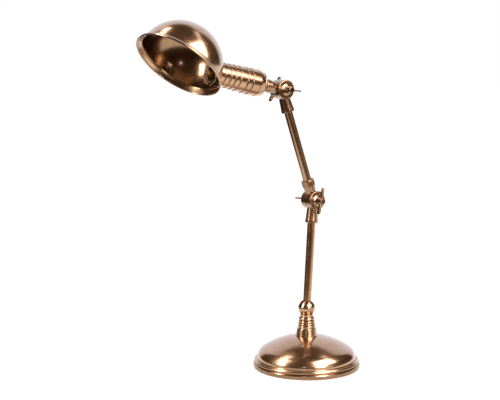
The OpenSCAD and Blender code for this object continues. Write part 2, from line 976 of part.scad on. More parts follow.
// A straight wall between two points, seen in section
module wall_between(a, b, thick) {
    side = thick / 2 * [a[1] - b[1], b[0] - a[0]] / norm(b - a);
    polygon([a + side, b + side, b - side, a - side]);
}

// Half section of the dome, about the sphere's centre
module shade_dome_section() {
    intersection() {
        difference() {
            circle(r = shade_r);
            circle(r = inner_r);
        }
        translate([0, shade_step_z]) square([shade_r, shade_r]);
    }
}

// The dome, the bead at its step, the flared band and the rolled rim
module shade_shell() {
    step = [sqrt(shade_r * shade_r - shade_step_z * shade_step_z), shade_step_z];
    rim = [(rim_d - rim_bead_d) / 2, rim_bead_d / 2 - rim_drop];
    rotate_extrude() shade_dome_section();
    rotate_extrude() wall_between(step, rim, shade_wall);
    rotate_extrude() translate(step) circle(r = step_bead_r);
    rotate_extrude() translate(rim) circle(r = rim_bead_d / 2);
}

module shade() {
    color(brass)
        at_head()
            difference() {
                at_shade() shade_shell();
                cylinder(r = nose_r + free_gap, h = shade_reach - shade_r / 2);
            }
}

module shade_collar() {
    color(brass)
        at_head()
            difference() {
                union() {
                    rib(5, front_ring_z1 + running, clamp_ring_l - running);
                    band(seat_rib_r, collar_z, collar_z + seat_rib_l + 2 * rib_edge, rib_edge);
                }
                translate([0, 0, shade_reach]) sphere(r = shade_r + running);
                translate([0, 0, front_ring_z1 - over])
                    cylinder(r = nose_r + running, h = shade_reach - front_ring_z1);
            }
}

module shade_ring_nut() {
    color(brass)
        at_head()
            translate([0, 0, ring_nut_z0])
                washer(ring_nut_r, ring_nut_h, nose_r + hole_gap);
}

base_cover();
base_weight();
base_felt();
threaded_nipple();
nipple_washer();
nipple_nut();
cord_bushing();
stem_cone();
stem_column();
swivel_ball();
tilt_pin();
swivel_washer();
swivel_nut();
tilt_lug();
lower_arm_tube();
elbow_near_half();
elbow_friction_washer();
elbow_near_washer();
elbow_wing_bolt();
elbow_wing_nut();
elbow_far_half();
elbow_far_washer();
upper_arm_tube();
wrist_near_half();
wrist_friction_washer();
wrist_near_washer();
wrist_wing_bolt();
wrist_wing_nut();
wrist_far_half();
wrist_far_washer();
head_nipple();
lampholder_cap();
lampholder_cover();
clamp_ring_rear();
clamp_ring_front();
lampholder_insulator();
screw_shell();
centre_contact();
terminal_screws();
shade();
shade_collar();
shade_ring_nut();
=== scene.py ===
# %% [markdown]
# # A dome shade desk lamp in antique brass
# The lamp is spun, turned and cast brass. Its pieces already have their real sizes and places in the
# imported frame, so this lesson only gives them their finish: fine round edges, lathe lines, rolled
# threads and the light of a plain studio. Everything is in metres, and drawings of single pieces are
# in millimetres.

# %% Load the frame
import json
import math

import bmesh
import bpy
from mathutils import Matrix, Quaternion, Vector


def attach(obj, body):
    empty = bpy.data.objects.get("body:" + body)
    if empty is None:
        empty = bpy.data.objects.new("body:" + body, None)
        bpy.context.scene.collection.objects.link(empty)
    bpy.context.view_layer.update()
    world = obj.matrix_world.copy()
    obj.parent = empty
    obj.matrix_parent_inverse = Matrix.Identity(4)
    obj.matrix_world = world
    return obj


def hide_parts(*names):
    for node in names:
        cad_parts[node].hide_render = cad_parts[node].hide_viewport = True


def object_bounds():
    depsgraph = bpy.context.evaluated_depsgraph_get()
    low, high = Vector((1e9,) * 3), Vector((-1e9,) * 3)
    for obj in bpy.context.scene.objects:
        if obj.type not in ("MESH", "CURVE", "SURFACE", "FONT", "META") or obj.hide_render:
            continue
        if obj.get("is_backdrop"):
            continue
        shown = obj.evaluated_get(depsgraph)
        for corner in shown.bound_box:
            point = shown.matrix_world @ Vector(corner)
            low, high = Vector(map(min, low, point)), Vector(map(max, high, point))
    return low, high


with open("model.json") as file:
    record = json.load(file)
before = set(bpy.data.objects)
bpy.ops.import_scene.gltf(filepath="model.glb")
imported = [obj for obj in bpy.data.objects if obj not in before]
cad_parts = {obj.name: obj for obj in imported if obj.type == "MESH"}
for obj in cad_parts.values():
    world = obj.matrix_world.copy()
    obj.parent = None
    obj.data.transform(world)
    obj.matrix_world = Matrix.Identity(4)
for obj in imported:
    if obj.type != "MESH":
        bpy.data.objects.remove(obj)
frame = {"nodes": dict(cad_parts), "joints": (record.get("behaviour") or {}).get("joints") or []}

MM = 0.001
cad_low, cad_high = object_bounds()

# %% [markdown]
# ## Where things are
# The arms lean about the Y axis, so one angle places each of them. The joints of the frame give the
# centres of the ball, the elbow, the wrist and the dome, and the angles follow from those four points.
# Each piece is drawn standing on its own origin along +Z and then set in place by one matrix.

# %% Joints and leans
joints = {joint["name"]: joint for joint in frame["joints"]}
ball_place = Vector(joints["base_tilt"]["pos_m"])
elbow_place = Vector(joints["elbow"]["pos_m"])
wrist_place = Vector(joints["wrist"]["pos_m"])
dome_place = Vector(joints["shade_turn"]["pos_m"])
SHADE_TWIST = 8
SHADE_TILT = 117.5  # from the lampholder's axis to the dome's


def swung(angle, axis):
    """A turn about an axis, in degrees."""
    return Matrix.Rotation(math.radians(angle), 4, axis)


def raised(height):
    """A step along +Z, in millimetres."""
    return Matrix.Translation((0, 0, height * MM))


def stand(place, lean=0):
    """The place of a piece drawn along +Z: leaned about Y by an angle in degrees, then moved."""
    return Matrix.Translation(place) @ swung(lean, "Y")


def lean_of(axis):
    """The lean about Y, in degrees, that turns +Z to an axis in the plane of the arms."""
    return math.degrees(math.atan2(axis.x, axis.z))


lower_lean = lean_of(elbow_place - ball_place)
upper_lean = lean_of(wrist_place - elbow_place)
head_lean = lean_of(dome_place - wrist_place)
ALONG_Y = swung(-90, "X")
at_base = stand((0, 0, 0))
at_ball = stand(ball_place)
at_lower = stand(ball_place, lower_lean)
at_upper = stand(elbow_place, upper_lean)
at_head = stand(wrist_place, head_lean)
at_dome = stand(dome_place, head_lean) @ swung(SHADE_TWIST, "Z") @ swung(SHADE_TILT, "Y")
print("leans:", round(lower_lean, 2), round(upper_lean, 2), round(head_lean, 2))

# %% [markdown]
# ## The camera
# The lamp is seen from its front left corner, a little from above, through a long lens. A long lens
# keeps the tall thin shape from leaning, as it would do close up.

# %% Camera
CAMERA_TURN = -34.209
CAMERA_DROP = 7.698
CAMERA_AWAY = 1.8
CAMERA_LENS = 85.46
camera_aim = Vector((-0.0804, 0.0377, 0.2624))


def way_to(azimuth, elevation):
    """A direction. Azimuth 0 is -Y and grows towards +X; both angles are in degrees."""
    around, up = math.radians(azimuth), math.radians(elevation)
    return Vector((math.sin(around) * math.cos(up), -math.cos(around) * math.cos(up), math.sin(up)))


def in_scene(name, data):
    """Makes an object with this data and puts it in the scene."""
    thing = bpy.data.objects.new(name, data)
    bpy.context.scene.collection.objects.link(thing)
    return thing


camera_back = way_to(CAMERA_TURN, CAMERA_DROP)
camera = in_scene("camera", bpy.data.cameras.new("camera"))
camera.data.lens = CAMERA_LENS
camera.location = camera_aim + CAMERA_AWAY * camera_back
camera.rotation_mode = "QUATERNION"
camera.rotation_quaternion = camera_back.to_track_quat("Z", "Y")
bpy.context.scene.camera = camera
bpy.context.scene.view_settings.view_transform = "Standard"
print("camera at", [round(v, 3) for v in camera.location])

# %% [markdown]
# ## Colours and nodes
# Colours are written as sRGB hex values, as a colour picker gives them, but shaders want linear light.
# One function turns the first into the second. Another adds a node: each input is a value or another
# node, so a whole material reads from top to bottom. Where sockets share a name their number is given:
# a Map Range reads 0 over the range 1 to 2 and gives 3 to 4, and a Mix of colours goes by 0 from 6 to 7.


# %% Three helpers
def linear(code):
    """A shader colour from an sRGB hex value such as #9a6f3f."""
    parts = [int(code[i:i + 2], 16) / 255 for i in (1, 3, 5)]
    return tuple(p / 12.92 if p <= 0.04045 else ((p + 0.055) / 1.055) ** 2.4 for p in parts) + (1,)


def emptied(owner):
    """The node tree of a world or a material, with its first nodes removed."""
    owner.use_nodes = True
    owner.node_tree.nodes.clear()
    return owner.node_tree


def add(tree, kind, inputs=None, **settings):
    """Adds one node. An input is a value, an output, a node for its first output, or a list of them."""
    node = tree.nodes.new(kind)
    for name, value in settings.items():
        setattr(node, name, value)
    for socket, value in (inputs or {}).items():
        for one in value if isinstance(value, list) else [value]:
            if isinstance(one, bpy.types.Node):
                one = one.outputs[0]
            if isinstance(one, bpy.types.NodeSocket):
                tree.links.new(one, node.inputs[socket])
            else:
                node.inputs[socket].default_value = one
    return node


# %% [markdown]
# ## The studio
# Polished brass has little colour of its own to show: it shows the room. The room here is a product
# photographer's: a white sweep behind the lamp, softboxes round it and a dim, warm room beyond them.
# The sweep is painted on the world behind the lamp, so that metal shows it while every side view
# stays open. Its edges are soft, and given as cosines: across, of the angle from the middle of the
# sweep, and upwards, of the angle from the zenith. Camera rays see plain white.

# %% World
SWEEP_EDGE = (0.66, 0.76)
SWEEP_TOP = (0.74, 0.85)
ROOM_TINT = linear("#5a483c")
ROOM_LOW = linear("#3c2b22")
WALL_RISE = (-0.1, 0.45)  # the walls go from the low tone to the other one over these heights
FILL_LEVEL = 0.55
SWEEP_TINT = linear("#f2f3ff")
SWEEP_LEVEL = 1.1

world = bpy.data.worlds.new("studio")
bpy.context.scene.world = world
tree = emptied(world)
ray = add(tree, "ShaderNodeLightPath")
way = add(tree, "ShaderNodeTexCoord").outputs["Generated"]
height = add(tree, "ShaderNodeSeparateXYZ", {0: way}).outputs["Z"]
flat = add(tree, "ShaderNodeVectorMath", {0: way, 1: (1, 1, 0)}, operation="MULTIPLY")
flat = add(tree, "ShaderNodeVectorMath", {0: flat}, operation="NORMALIZE")
sweep_way = -way_to(CAMERA_TURN, 0)
facing = add(tree, "ShaderNodeVectorMath", {0: flat, 1: sweep_way}, operation="DOT_PRODUCT")
across = add(tree, "ShaderNodeMapRange", {
    0: facing.outputs["Value"], 1: SWEEP_EDGE[0], 2: SWEEP_EDGE[1]}, interpolation_type="SMOOTHSTEP")
below = add(tree, "ShaderNodeMapRange", {
    0: height, 1: SWEEP_TOP[1], 2: SWEEP_TOP[0]}, interpolation_type="SMOOTHSTEP")
sweep = add(tree, "ShaderNodeMath", {0: across, 1: below}, operation="MULTIPLY")
upwards = add(tree, "ShaderNodeMapRange", {0: height, 1: WALL_RISE[0], 2: WALL_RISE[1]})
walls = add(tree, "ShaderNodeMix", {0: upwards, 6: ROOM_LOW, 7: ROOM_TINT}, data_type="RGBA")
lit = tuple(SWEEP_LEVEL * part for part in SWEEP_TINT)
seen = add(tree, "ShaderNodeMix", {0: sweep, 6: walls.outputs[2], 7: lit}, data_type="RGBA")
fill = (FILL_LEVEL, FILL_LEVEL, FILL_LEVEL, 1)
glossy = add(tree, "ShaderNodeMix", {
    0: ray.outputs["Is Glossy Ray"], 6: fill, 7: seen.outputs[2]}, data_type="RGBA")
shown = add(tree, "ShaderNodeMix", {
    0: ray.outputs["Is Camera Ray"], 6: glossy.outputs[2], 7: (1, 1, 1, 1)}, data_type="RGBA")
back = add(tree, "ShaderNodeBackground", {"Color": shown.outputs[2], "Strength": 1})
add(tree, "ShaderNodeOutputWorld", {"Surface": back})
print("world: sweep towards", [round(v, 2) for v in sweep_way])

# %% [markdown]
# A softbox is an area lamp. Its brightness is set as radiance, the level at which a perfect mirror
# would show it, and the lamp's power follows from its size. A tall box stands on each side in front of
# the lamp, with a smaller one near on the right and one small lamp beside the camera. A long box on a
# boom leans in on each side from above. Those six are only for reflections, so that highlights burn
# out on the brass. Two wider and weaker boxes behind the tall ones light matt surfaces at a plain
# level and give each highlight its soft border.

# %% Softboxes
LIGHT_CENTRE = Vector((0, 0, 0.02))
FRONT_LEVEL = 12
NEAR_LEVEL = 7
BOOM_LEVEL = 5
GLOW_LEVEL = 1.5
MATT_LEVEL = 0.8
LAMP_TINT = linear("#fbf8ff")


def softbox(name, azimuth, elevation, away, width, height, level, roll=0, matt=False):
    """An area lamp that faces the base. Azimuth is counted from the camera's side, to the right."""
    out = way_to(CAMERA_TURN + azimuth, elevation)
    light = bpy.data.lights.new(name, "AREA")
    light.shape = "RECTANGLE"
    light.size, light.size_y = width, height
    light.energy = level * math.pi * width * height
    light.color = LAMP_TINT[:3]
    lamp = in_scene(name, light)
    lamp.location = LIGHT_CENTRE + away * out
    lamp.rotation_mode = "QUATERNION"
    lamp.rotation_quaternion = out.to_track_quat("Z", "Y") @ Quaternion((0, 0, 1), math.radians(roll))
    lamp.visible_camera = False
    lamp.visible_diffuse = matt


softbox("left_front", -67, 32, 2.6, 0.66, 2.3, FRONT_LEVEL, roll=14)
softbox("left_boom", -100, 61, 2.6, 1.5, 0.45, BOOM_LEVEL, roll=-33)
softbox("right_front", 33, 32, 2.6, 0.95, 2.3, FRONT_LEVEL, roll=-8)
softbox("right_near", 62, 46, 1.45, 0.6, 0.95, NEAR_LEVEL)
softbox("right_boom", 102, 63, 2.6, 1.2, 0.4, GLOW_LEVEL, roll=26)
softbox("by_the_camera", -7, 11.8, 1.86, 0.14, 0.14, NEAR_LEVEL)
softbox("left_wide", -70, 32, 3.0, 1.7, 3.3, MATT_LEVEL, matt=True)
softbox("right_wide", 42, 30, 3.0, 2.0, 3.3, MATT_LEVEL, matt=True)

# %% [markdown]
# The floor is a wide pale disc. For camera rays it glows a little, so that it runs out to white
# while the lamp's soft shadow stays on it. Polished metal would mirror the whole disc, but the
# photographer's paper ends half a metre in front of the lamp and to the left of it, and the dim room
# begins there. So for glossy rays the disc takes the room's tone beyond those edges. For glossy rays it
# is also darker close round the base: a painted shade of the base on the paper.

# %% Floor
FLOOR_R = 12
FLOOR_GLOW = 0.55
MIRROR_GLOW = 0.75
TABLE_EDGE = (0.44, 0.58)
TABLE_LEFT = (0.36, 0.6)
# painted shade of the base on the paper, seen only in reflections: its radii in metres and its depth
BASE_SHADE = (0.1, 0.2)
BASE_SHADE_LEVEL = 0.5
floor_mesh = bpy.data.meshes.new("floor")
bm = bmesh.new()
bmesh.ops.create_circle(bm, cap_ends=True, segments=128, radius=FLOOR_R)
bm.to_mesh(floor_mesh)
bm.free()
floor = in_scene("floor", floor_mesh)
# photographer's paper: matt, a little warmer than white
paper = bpy.data.materials.new("studio_paper")
tree = emptied(paper)
ray = add(tree, "ShaderNodeLightPath")
place = add(tree, "ShaderNodeTexCoord").outputs["Object"]
away = add(tree, "ShaderNodeVectorMath", {0: place}, operation="LENGTH")
# for glossy rays the paper darkens towards the base: painted shade of the base
dim = add(tree, "ShaderNodeMapRange", {
    0: away.outputs["Value"], 1: BASE_SHADE[1], 2: BASE_SHADE[0]}, interpolation_type="SMOOTHSTEP")
dim = add(tree, "ShaderNodeMath", {0: dim, 1: BASE_SHADE_LEVEL}, operation="MULTIPLY")
for azimuth, (near_edge, far_edge) in ((CAMERA_TURN, TABLE_EDGE), (CAMERA_TURN - 90, TABLE_LEFT)):
    reach = add(tree, "ShaderNodeVectorMath", {
        0: place, 1: way_to(azimuth, 0)}, operation="DOT_PRODUCT")
    past = add(tree, "ShaderNodeMapRange", {
        0: reach.outputs["Value"], 1: near_edge, 2: far_edge}, interpolation_type="SMOOTHSTEP")
    dim = add(tree, "ShaderNodeMath", {0: dim, 1: past}, operation="MAXIMUM")
# the room's tone past the table edges, together with the painted shade round the base
off_table_and_painted_shade = add(tree, "ShaderNodeMath", {
    0: dim, 1: ray.outputs["Is Glossy Ray"]}, operation="MULTIPLY")
bright = add(tree, "ShaderNodeMath", {
    0: ray.outputs["Is Camera Ray"], 1: FLOOR_GLOW}, operation="MULTIPLY")
bright = add(tree, "ShaderNodeMath", {
    0: ray.outputs["Is Glossy Ray"], 1: MIRROR_GLOW, 2: bright}, operation="MULTIPLY_ADD")
matt = add(tree, "ShaderNodeBsdfDiffuse", {"Color": linear("#f4f3f1")})
glow = add(tree, "ShaderNodeEmission", {"Color": (1, 1, 1, 1), "Strength": bright})
both = add(tree, "ShaderNodeAddShader", {0: matt, 1: glow})
room = add(tree, "ShaderNodeEmission", {"Color": ROOM_LOW, "Strength": 1})
mixed = add(tree, "ShaderNodeMixShader", {0: off_table_and_painted_shade, 1: both, 2: room})
add(tree, "ShaderNodeOutputMaterial", {"Surface": mixed})
floor_mesh.materials.append(paper)
floor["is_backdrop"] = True
print("floor radius", FLOOR_R, "m")

# %% [markdown]
# ## Antique brass
# The lamp is spun and turned brass, browned and then lacquered. Spinning leaves fine rings round the
# piece: they spread a highlight along the outline and leave it narrow across. Every turned piece of
# this lesson carries an attribute named lathe, with the direction round the axis and the way along the
# outline in millimetres. Noise that is stretched round the axis and short along the outline gives the
# rings, with no seam. Real rings lie 0.2 mm apart or less, too fine to show in the render, so these are
# drawn as coarse as they need to show. Browning is never even: clouds a few centimetres wide and blooms
# of a few millimetres move the colour between two tones. The lacquer is a thin, clear coat over it all,
# and it mirrors the studio sharply where the brass under it only glows.

# %% Brass
RING_WIDTH = 0.9  # mm
ROUND_STRETCH = 0.6  # how fast the noise changes round the axis
CLOUD_SIZE = 35  # mm
BLOOM_SIZE = 6  # mm
LACQUER_ROUGHNESS = 0.06


def brass(name, light, dark, rough, ring_height=0.004, lacquer=1):
    """Spun or turned brass: two tones of its browning, roughness, ring height in mm, lacquer."""
    material = bpy.data.materials.new(name)
    tree = emptied(material)
    place = add(tree, "ShaderNodeTexCoord").outputs["Object"]
    lathe = add(tree, "ShaderNodeAttribute", attribute_name="lathe").outputs["Vector"]
    stretch = (ROUND_STRETCH, ROUND_STRETCH, 1 / RING_WIDTH)
    round_way = add(tree, "ShaderNodeVectorMath", {0: lathe, 1: stretch}, operation="MULTIPLY")
    rings = add(tree, "ShaderNodeTexNoise", {
        "Vector": round_way, "Scale": 1, "Detail": 3, "Roughness": 0.6})
    cloud = add(tree, "ShaderNodeTexNoise", {
        "Vector": place, "Scale": 1 / (CLOUD_SIZE * MM), "Detail": 3, "Roughness": 0.5})
    bloom = add(tree, "ShaderNodeTexNoise", {
        "Vector": place, "Scale": 1 / (BLOOM_SIZE * MM), "Detail": 4, "Roughness": 0.7})
    mottle = add(tree, "ShaderNodeMath", {0: cloud, 1: bloom}, operation="ADD")
    mottle = add(tree, "ShaderNodeMapRange", {0: mottle, 1: 0.7, 2: 1.3})
    tone = add(tree, "ShaderNodeMix", {0: mottle, 6: linear(light), 7: linear(dark)}, data_type="RGBA")
    dull = add(tree, "ShaderNodeMath", {0: rings, 1: bloom}, operation="ADD")
    dull = add(tree, "ShaderNodeMapRange", {0: dull, 1: 0.6, 2: 1.4, 3: rough * 0.75, 4: rough * 1.3})
    bump = add(tree, "ShaderNodeBump", {"Height": rings, "Strength": 1, "Distance": ring_height * MM})
    shader = add(tree, "ShaderNodeBsdfPrincipled", {
        "Base Color": tone.outputs[2],
        "Metallic": 1,
        "Roughness": dull,
        "Coat Weight": lacquer,
        "Coat Roughness": LACQUER_ROUGHNESS,
        "Normal": bump,
    })
    add(tree, "ShaderNodeOutputMaterial", {"Surface": shader})
    return material


# spun sheet and turned bar, browned lightly and polished: the lamp's warm pinkish gold
antique_brass = brass("antiqued_spun_brass", "#bf9670", "#a8805a", 0.21)
# small turned fittings: the browning stays in their corners, so they are a shade darker
dark_brass = brass("browned_turned_brass", "#ab8864", "#8a6a4a", 0.24)
# the inside of the shade takes a darker copy of the brass, as painted shade, so that it glows but
# doesn't glare
painted_shade_brass = brass("dome_inside_painted_shade_brass", "#9f7b57", "#856443", 0.2, lacquer=0.8)
# the arms are drawn tube: their surface is smoother than anything turned
tube_brass = brass("browned_drawn_brass", "#b68a5f", "#a0764e", 0.22, ring_height=0.0008)
# cast knuckles are only brushed before they are browned, so they stay rougher and darker
cast_brass = brass("browned_cast_brass", "#a47c58", "#84603f", 0.27, lacquer=0.8)
# wings are rubbed by fingers over a deep brown
wing_brass = brass("rubbed_brown_brass", "#97704f", "#765439", 0.2, lacquer=0.8)
# the shell, the contact and the terminals are left bright, for the current
bright_brass = brass("handled_bright_brass", "#c6a17a", "#ae8b66", 0.18)
print("brass:", [m.name for m in bpy.data.materials if "brass" in m.name])

# %% [markdown]
# ## The hidden materials
# Inside the lamp are zinc-plated steel nuts, pressed fibre washers, a cast iron weight, a glazed
# porcelain core, a rubber bushing and a wool felt pad. Each one needs a pattern at its own real size:
# the crystals of the zinc, the grain of the sand casting, the matted hairs of the felt.


# %% One function for the matt and plated materials
def stuff(name, light, dark, rough, grain, height, **shader_values):
    """A material whose colour and surface follow a noise with a grain in mm and a height in mm."""
    material = bpy.data.materials.new(name)
    tree = emptied(material)
    place = add(tree, "ShaderNodeTexCoord").outputs["Object"]
    speck = add(tree, "ShaderNodeTexNoise", {
        "Vector": place, "Scale": 1 / (grain * MM), "Detail": 5, "Roughness": 0.65})
    tone = add(tree, "ShaderNodeMix", {0: speck, 6: linear(dark), 7: linear(light)}, data_type="RGBA")
    dull = add(tree, "ShaderNodeMapRange", {0: speck, 1: 0.3, 2: 0.7, 3: rough * 0.85, 4: rough * 1.15})
    bump = add(tree, "ShaderNodeBump", {"Height": speck, "Strength": 1, "Distance": height * MM})
    inputs = {"Base Color": tone.outputs[2], "Roughness": dull, "Normal": bump}
    inputs.update(shader_values)
    shader = add(tree, "ShaderNodeBsdfPrincipled", inputs)
    add(tree, "ShaderNodeOutputMaterial", {"Surface": shader})
    return material


# zinc plating: pale, with a faint yellow and blue mottle
zinc_steel = stuff("zinc_plated_steel", "#b9bbb9", "#8f9192", 0.32, 1.6, 0.004, Metallic=1.0)
# pressed vulcanised fibre: a dull reddish brown board
fibre = stuff("pressed_fibre", "#5a3c2c", "#3c2820", 0.8, 0.7, 0.03)
# sand-cast iron with a coat of black paint
cast_iron = stuff("painted_cast_iron", "#3b3b3d", "#222224", 0.62, 1.4, 0.12)
# nitrile rubber, moulded: dark and slightly bloomed
rubber = stuff("moulded_rubber", "#2c2b2a", "#1c1b1b", 0.55, 0.8, 0.01)
# glazed porcelain: warm white under a clear glaze
porcelain = stuff("glazed_porcelain", "#efeadf", "#e0d8c8", 0.22, 9, 0.01, **{"Coat Weight": 0.6})
# wool felt: matted hairs that catch light at the edge
felt = stuff("wool_felt", "#3d5f49", "#22392b", 0.95, 0.35, 0.25, **{"Sheen Weight": 0.5})
print("materials:", [m.name for m in bpy.data.materials])

# %% [markdown]
# ## The lathe
# Nearly every piece of this lamp was turned or spun, so it is made the same way here: an outline in
# millimetres is spun about +Z. A third number at a corner is its rounding. No real edge is quite sharp,
# and it is the thin bright line along each rounded edge that makes metal look like metal.


# %% Outlines
def rounded(corners, closed=True, steps=4):
    """An outline with its corners rounded. A corner is (radius, height) and may end in a rounding."""
    points = []
    for i, corner in enumerate(corners):
        here = Vector(corner[:2])
        rounding = corner[2] if len(corner) > 2 else 0
        if not rounding or (not closed and i in (0, len(corners) - 1)):
            points.append(here)
            continue
        back = Vector(corners[i - 1][:2]) - here
        ahead = Vector(corners[(i + 1) % len(corners)][:2]) - here
        half = back.angle(ahead) / 2
        cut = min(rounding / math.tan(half), 0.45 * back.length, 0.45 * ahead.length)
        rounding = cut * math.tan(half)
        back_way, ahead_way = back.normalized(), ahead.normalized()
        centre = here + (back_way + ahead_way).normalized() * rounding / math.sin(half)
        start = here + back_way * cut - centre
        swing = (here + ahead_way * cut - centre).angle_signed(start)
        if back.length > 3 * cut:
            points.append(here + back_way * cut * 1.4)
        for k in range(steps + 1):
            points.append(centre + Matrix.Rotation(swing * k / steps, 2) @ start)
        if ahead.length > 3 * cut:
            points.append(here + ahead_way * cut * 1.4)
    return [tuple(p) for p in points]


def arc(centre, radius, start, end, steps):
    """Points along an arc. Angles are in degrees from the axis of the piece, +Z, outwards."""
    angles = [math.radians(start + (end - start) * k / steps) for k in range(steps + 1)]
    return [(centre[0] + radius * math.sin(a), centre[1] + radius * math.cos(a)) for a in angles]


print("one rounded corner has", len(rounded([(0, 0), (5, 0, 1), (5, 5)], False)) - 2, "points")


# %% Spinning an outline
def turned(name, outline, place, steps=128, closed=True):
    """Spins an outline about +Z and keeps the lathe attribute. A closed outline leaves a bore."""
    count = len(outline)
    spans = count if closed else count - 1
    way = [0]
    for k in range(spans):
        way.append(way[-1] + (Vector(outline[(k + 1) % count]) - Vector(outline[k])).length)
    verts, rings = [], []
    for radius, height in outline:
        angles = [0] if radius < 1e-6 else [2 * math.pi * i / steps for i in range(steps)]
        rings.append(range(len(verts), len(verts) + len(angles)))
        verts += [(radius * math.cos(a), radius * math.sin(a), height) for a in angles]
    faces, marks = [], []
    for k in range(spans):
        low, high = rings[k], rings[(k + 1) % count]
        for i in range(steps):
            corners = [(low, i, way[k]), (high, i, way[k + 1]),
                       (high, i + 1, way[k + 1]), (low, i + 1, way[k])]
            # on the axis a ring is a single point, and the face there is a triangle
            kept = [c for n, c in enumerate(corners) if len(c[0]) > 1 or n < 2]
            faces.append([ring[step % len(ring)] for ring, step, _ in kept])
            for _, step, along in kept:
                angle = 2 * math.pi * step / steps
                marks += [math.cos(angle), math.sin(angle), along]
    mesh = bpy.data.meshes.new(name)
    mesh.from_pydata(verts, [], faces)
    lathe = mesh.attributes.new("lathe", "FLOAT_VECTOR", "CORNER")
    lathe.data.foreach_set("vector", marks)
    return as_piece(name, mesh, place)


def bar(name, radius, low, high, place, rounding=0, steps=64):
    """A solid round bar along +Z, from low to high."""
    line = rounded([(0, low), (radius, low, rounding), (radius, high, rounding), (0, high)], False)
    return turned(name, line, place, steps, False)


def as_piece(name, mesh, place):
    """Gives a mesh in millimetres its place and outward normals, and makes it an object."""
    mesh.transform(place @ Matrix.Scale(MM, 4))
    bm = bmesh.new()
    bm.from_mesh(mesh)
    bmesh.ops.recalc_face_normals(bm, faces=bm.faces)
    bm.to_mesh(mesh)
    bm.free()
    mesh.shade_smooth()
    return in_scene(name, mesh)


# %% [markdown]
# Slots, bores and joined castings are cut with Boolean modifiers, as a miller cuts them. Each
# result becomes a plain mesh at once. Edges that bend sharply are marked sharp, so smooth shading
# doesn't smear round them.


# %% Cutting and fitting
SHARP = math.radians(38)
made = []


def result_of(piece):
    """The plain mesh that an object's modifiers give. The modifiers are removed."""
    graph = bpy.context.evaluated_depsgraph_get()
    mesh = bpy.data.meshes.new_from_object(piece.evaluated_get(graph))
    piece.modifiers.clear()
    return mesh


def worked(piece, others, how):
    """Cuts others out of a piece (DIFFERENCE) or joins them to it (UNION), and removes them."""
    for other in others:
        tool = piece.modifiers.new("work", "BOOLEAN")
        tool.operation, tool.solver, tool.object = how, "EXACT", other
    piece.data = result_of(piece)
    for other in others:
        bpy.data.objects.remove(other)
    return piece


def fit(piece, body, material, nodes):
    """Finishes a piece: material, sharp edges, the body it rides on and the nodes it stands for."""
    piece.data.materials.clear()
    piece.data.materials.append(material)
    piece.data.polygons.foreach_set("material_index", [0] * len(piece.data.polygons))
    piece.data.shade_smooth()
    piece.data.set_sharp_from_angle(angle=SHARP)
    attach(piece, body)
    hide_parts(*nodes)
    made.append(piece.name)
    print(piece.name, len(piece.data.polygons), "faces on", body)


def brass_fit(piece, body, *nodes):
    fit(piece, body, antique_brass, nodes)


def dress(material, *nodes):
    """Gives nodes of the frame their material."""
    for node in nodes:
        slots = frame["nodes"][node].data.materials
        slots.clear()
        slots.append(material)
        print(node, "is", material.name)


# %% [markdown]
# ## Threads
# A thread is a ridge that winds round a rod, and its height depends only on the angle and on the way
# along the rod. That is a rule, so Geometry Nodes cut it: a fine cylinder has each point pulled in by a
# wave that takes one turn to rise by one pitch. The first tree is a group that the others use.

# %% Growing a piece
THREAD_ROWS = 6
FINE_PITCH, FINE_DEPTH = 1, 0.5  # of the threads on nipples and bolts


def sized_tree(name, sizes):
    """A Geometry Nodes tree with named sizes as its inputs, and the outputs of its input node."""
    tree = bpy.data.node_groups.new(name, "GeometryNodeTree")
    for size in sizes.split():
        tree.interface.new_socket(size, in_out="INPUT", socket_type="NodeSocketFloat")
    tree.interface.new_socket("material", in_out="INPUT", socket_type="NodeSocketMaterial")
    tree.interface.new_socket("geometry", in_out="OUTPUT", socket_type="NodeSocketGeometry")
    return tree, add(tree, "NodeGroupInput").outputs


def grown(name, tree, material, place, **sizes):
    """Grows a piece by a tree with the given sizes in millimetres, and makes it a plain mesh."""
    seed = in_scene("seed", bpy.data.meshes.new("seed"))
    grower = seed.modifiers.new("grower", "NODES")
    grower.node_group = tree
    given = {"material": material, **{size: float(value) for size, value in sizes.items()}}
    for socket in tree.interface.items_tree:
        if socket.in_out == "INPUT":
            grower[socket.identifier] = given[socket.name]
    mesh = result_of(seed)
    bpy.data.objects.remove(seed)
    return as_piece(name, mesh, place)


def finished(tree, geometry, size):
    """Ends a tree: real geometry in the material that was asked for."""
    real = add(tree, "GeometryNodeRealizeInstances", {0: geometry})
    done = add(tree, "GeometryNodeSetMaterial", {"Geometry": real, "Material": size["material"]})
    add(tree, "NodeGroupOutput", {0: done})
    print(tree.name, "has", len(tree.nodes), "nodes")
    return tree


# %% The thread tree
tree, size = sized_tree("thread", "radius start length pitch depth end_cut around")
rows = size["length"]
for operation, other in (("DIVIDE", size["pitch"]), ("MULTIPLY", THREAD_ROWS)):
    rows = add(tree, "ShaderNodeMath", {0: rows, 1: other}, operation=operation)
rod = add(tree, "GeometryNodeMeshCylinder", {
    "Vertices": size["around"], "Side Segments": rows, "Radius": size["radius"],
    "Depth": size["length"]}, fill_type="NGON")
lift = add(tree, "ShaderNodeMath", {
    0: size["length"], 1: 0.5, 2: size["start"]}, operation="MULTIPLY_ADD")
lift = add(tree, "ShaderNodeCombineXYZ", {"Z": lift})
rod = add(tree, "GeometryNodeTransform", {"Geometry": rod, "Translation": lift})
place = add(tree, "GeometryNodeInputPosition")
x, y, z = add(tree, "ShaderNodeSeparateXYZ", {0: place}).outputs
angle = add(tree, "ShaderNodeMath", {0: y, 1: x}, operation="ARCTAN2")
# the wave is the cosine of the turns climbed less the angle
wave = z
for operation, other in (("DIVIDE", size["pitch"]), ("MULTIPLY", 2 * math.pi),
                         ("SUBTRACT", angle), ("COSINE", 0)):
    wave = add(tree, "ShaderNodeMath", {0: wave, 1: other}, operation=operation)
cut = add(tree, "ShaderNodeMapRange", {0: wave, 1: 1, 2: -1, 3: 0, 4: 1})
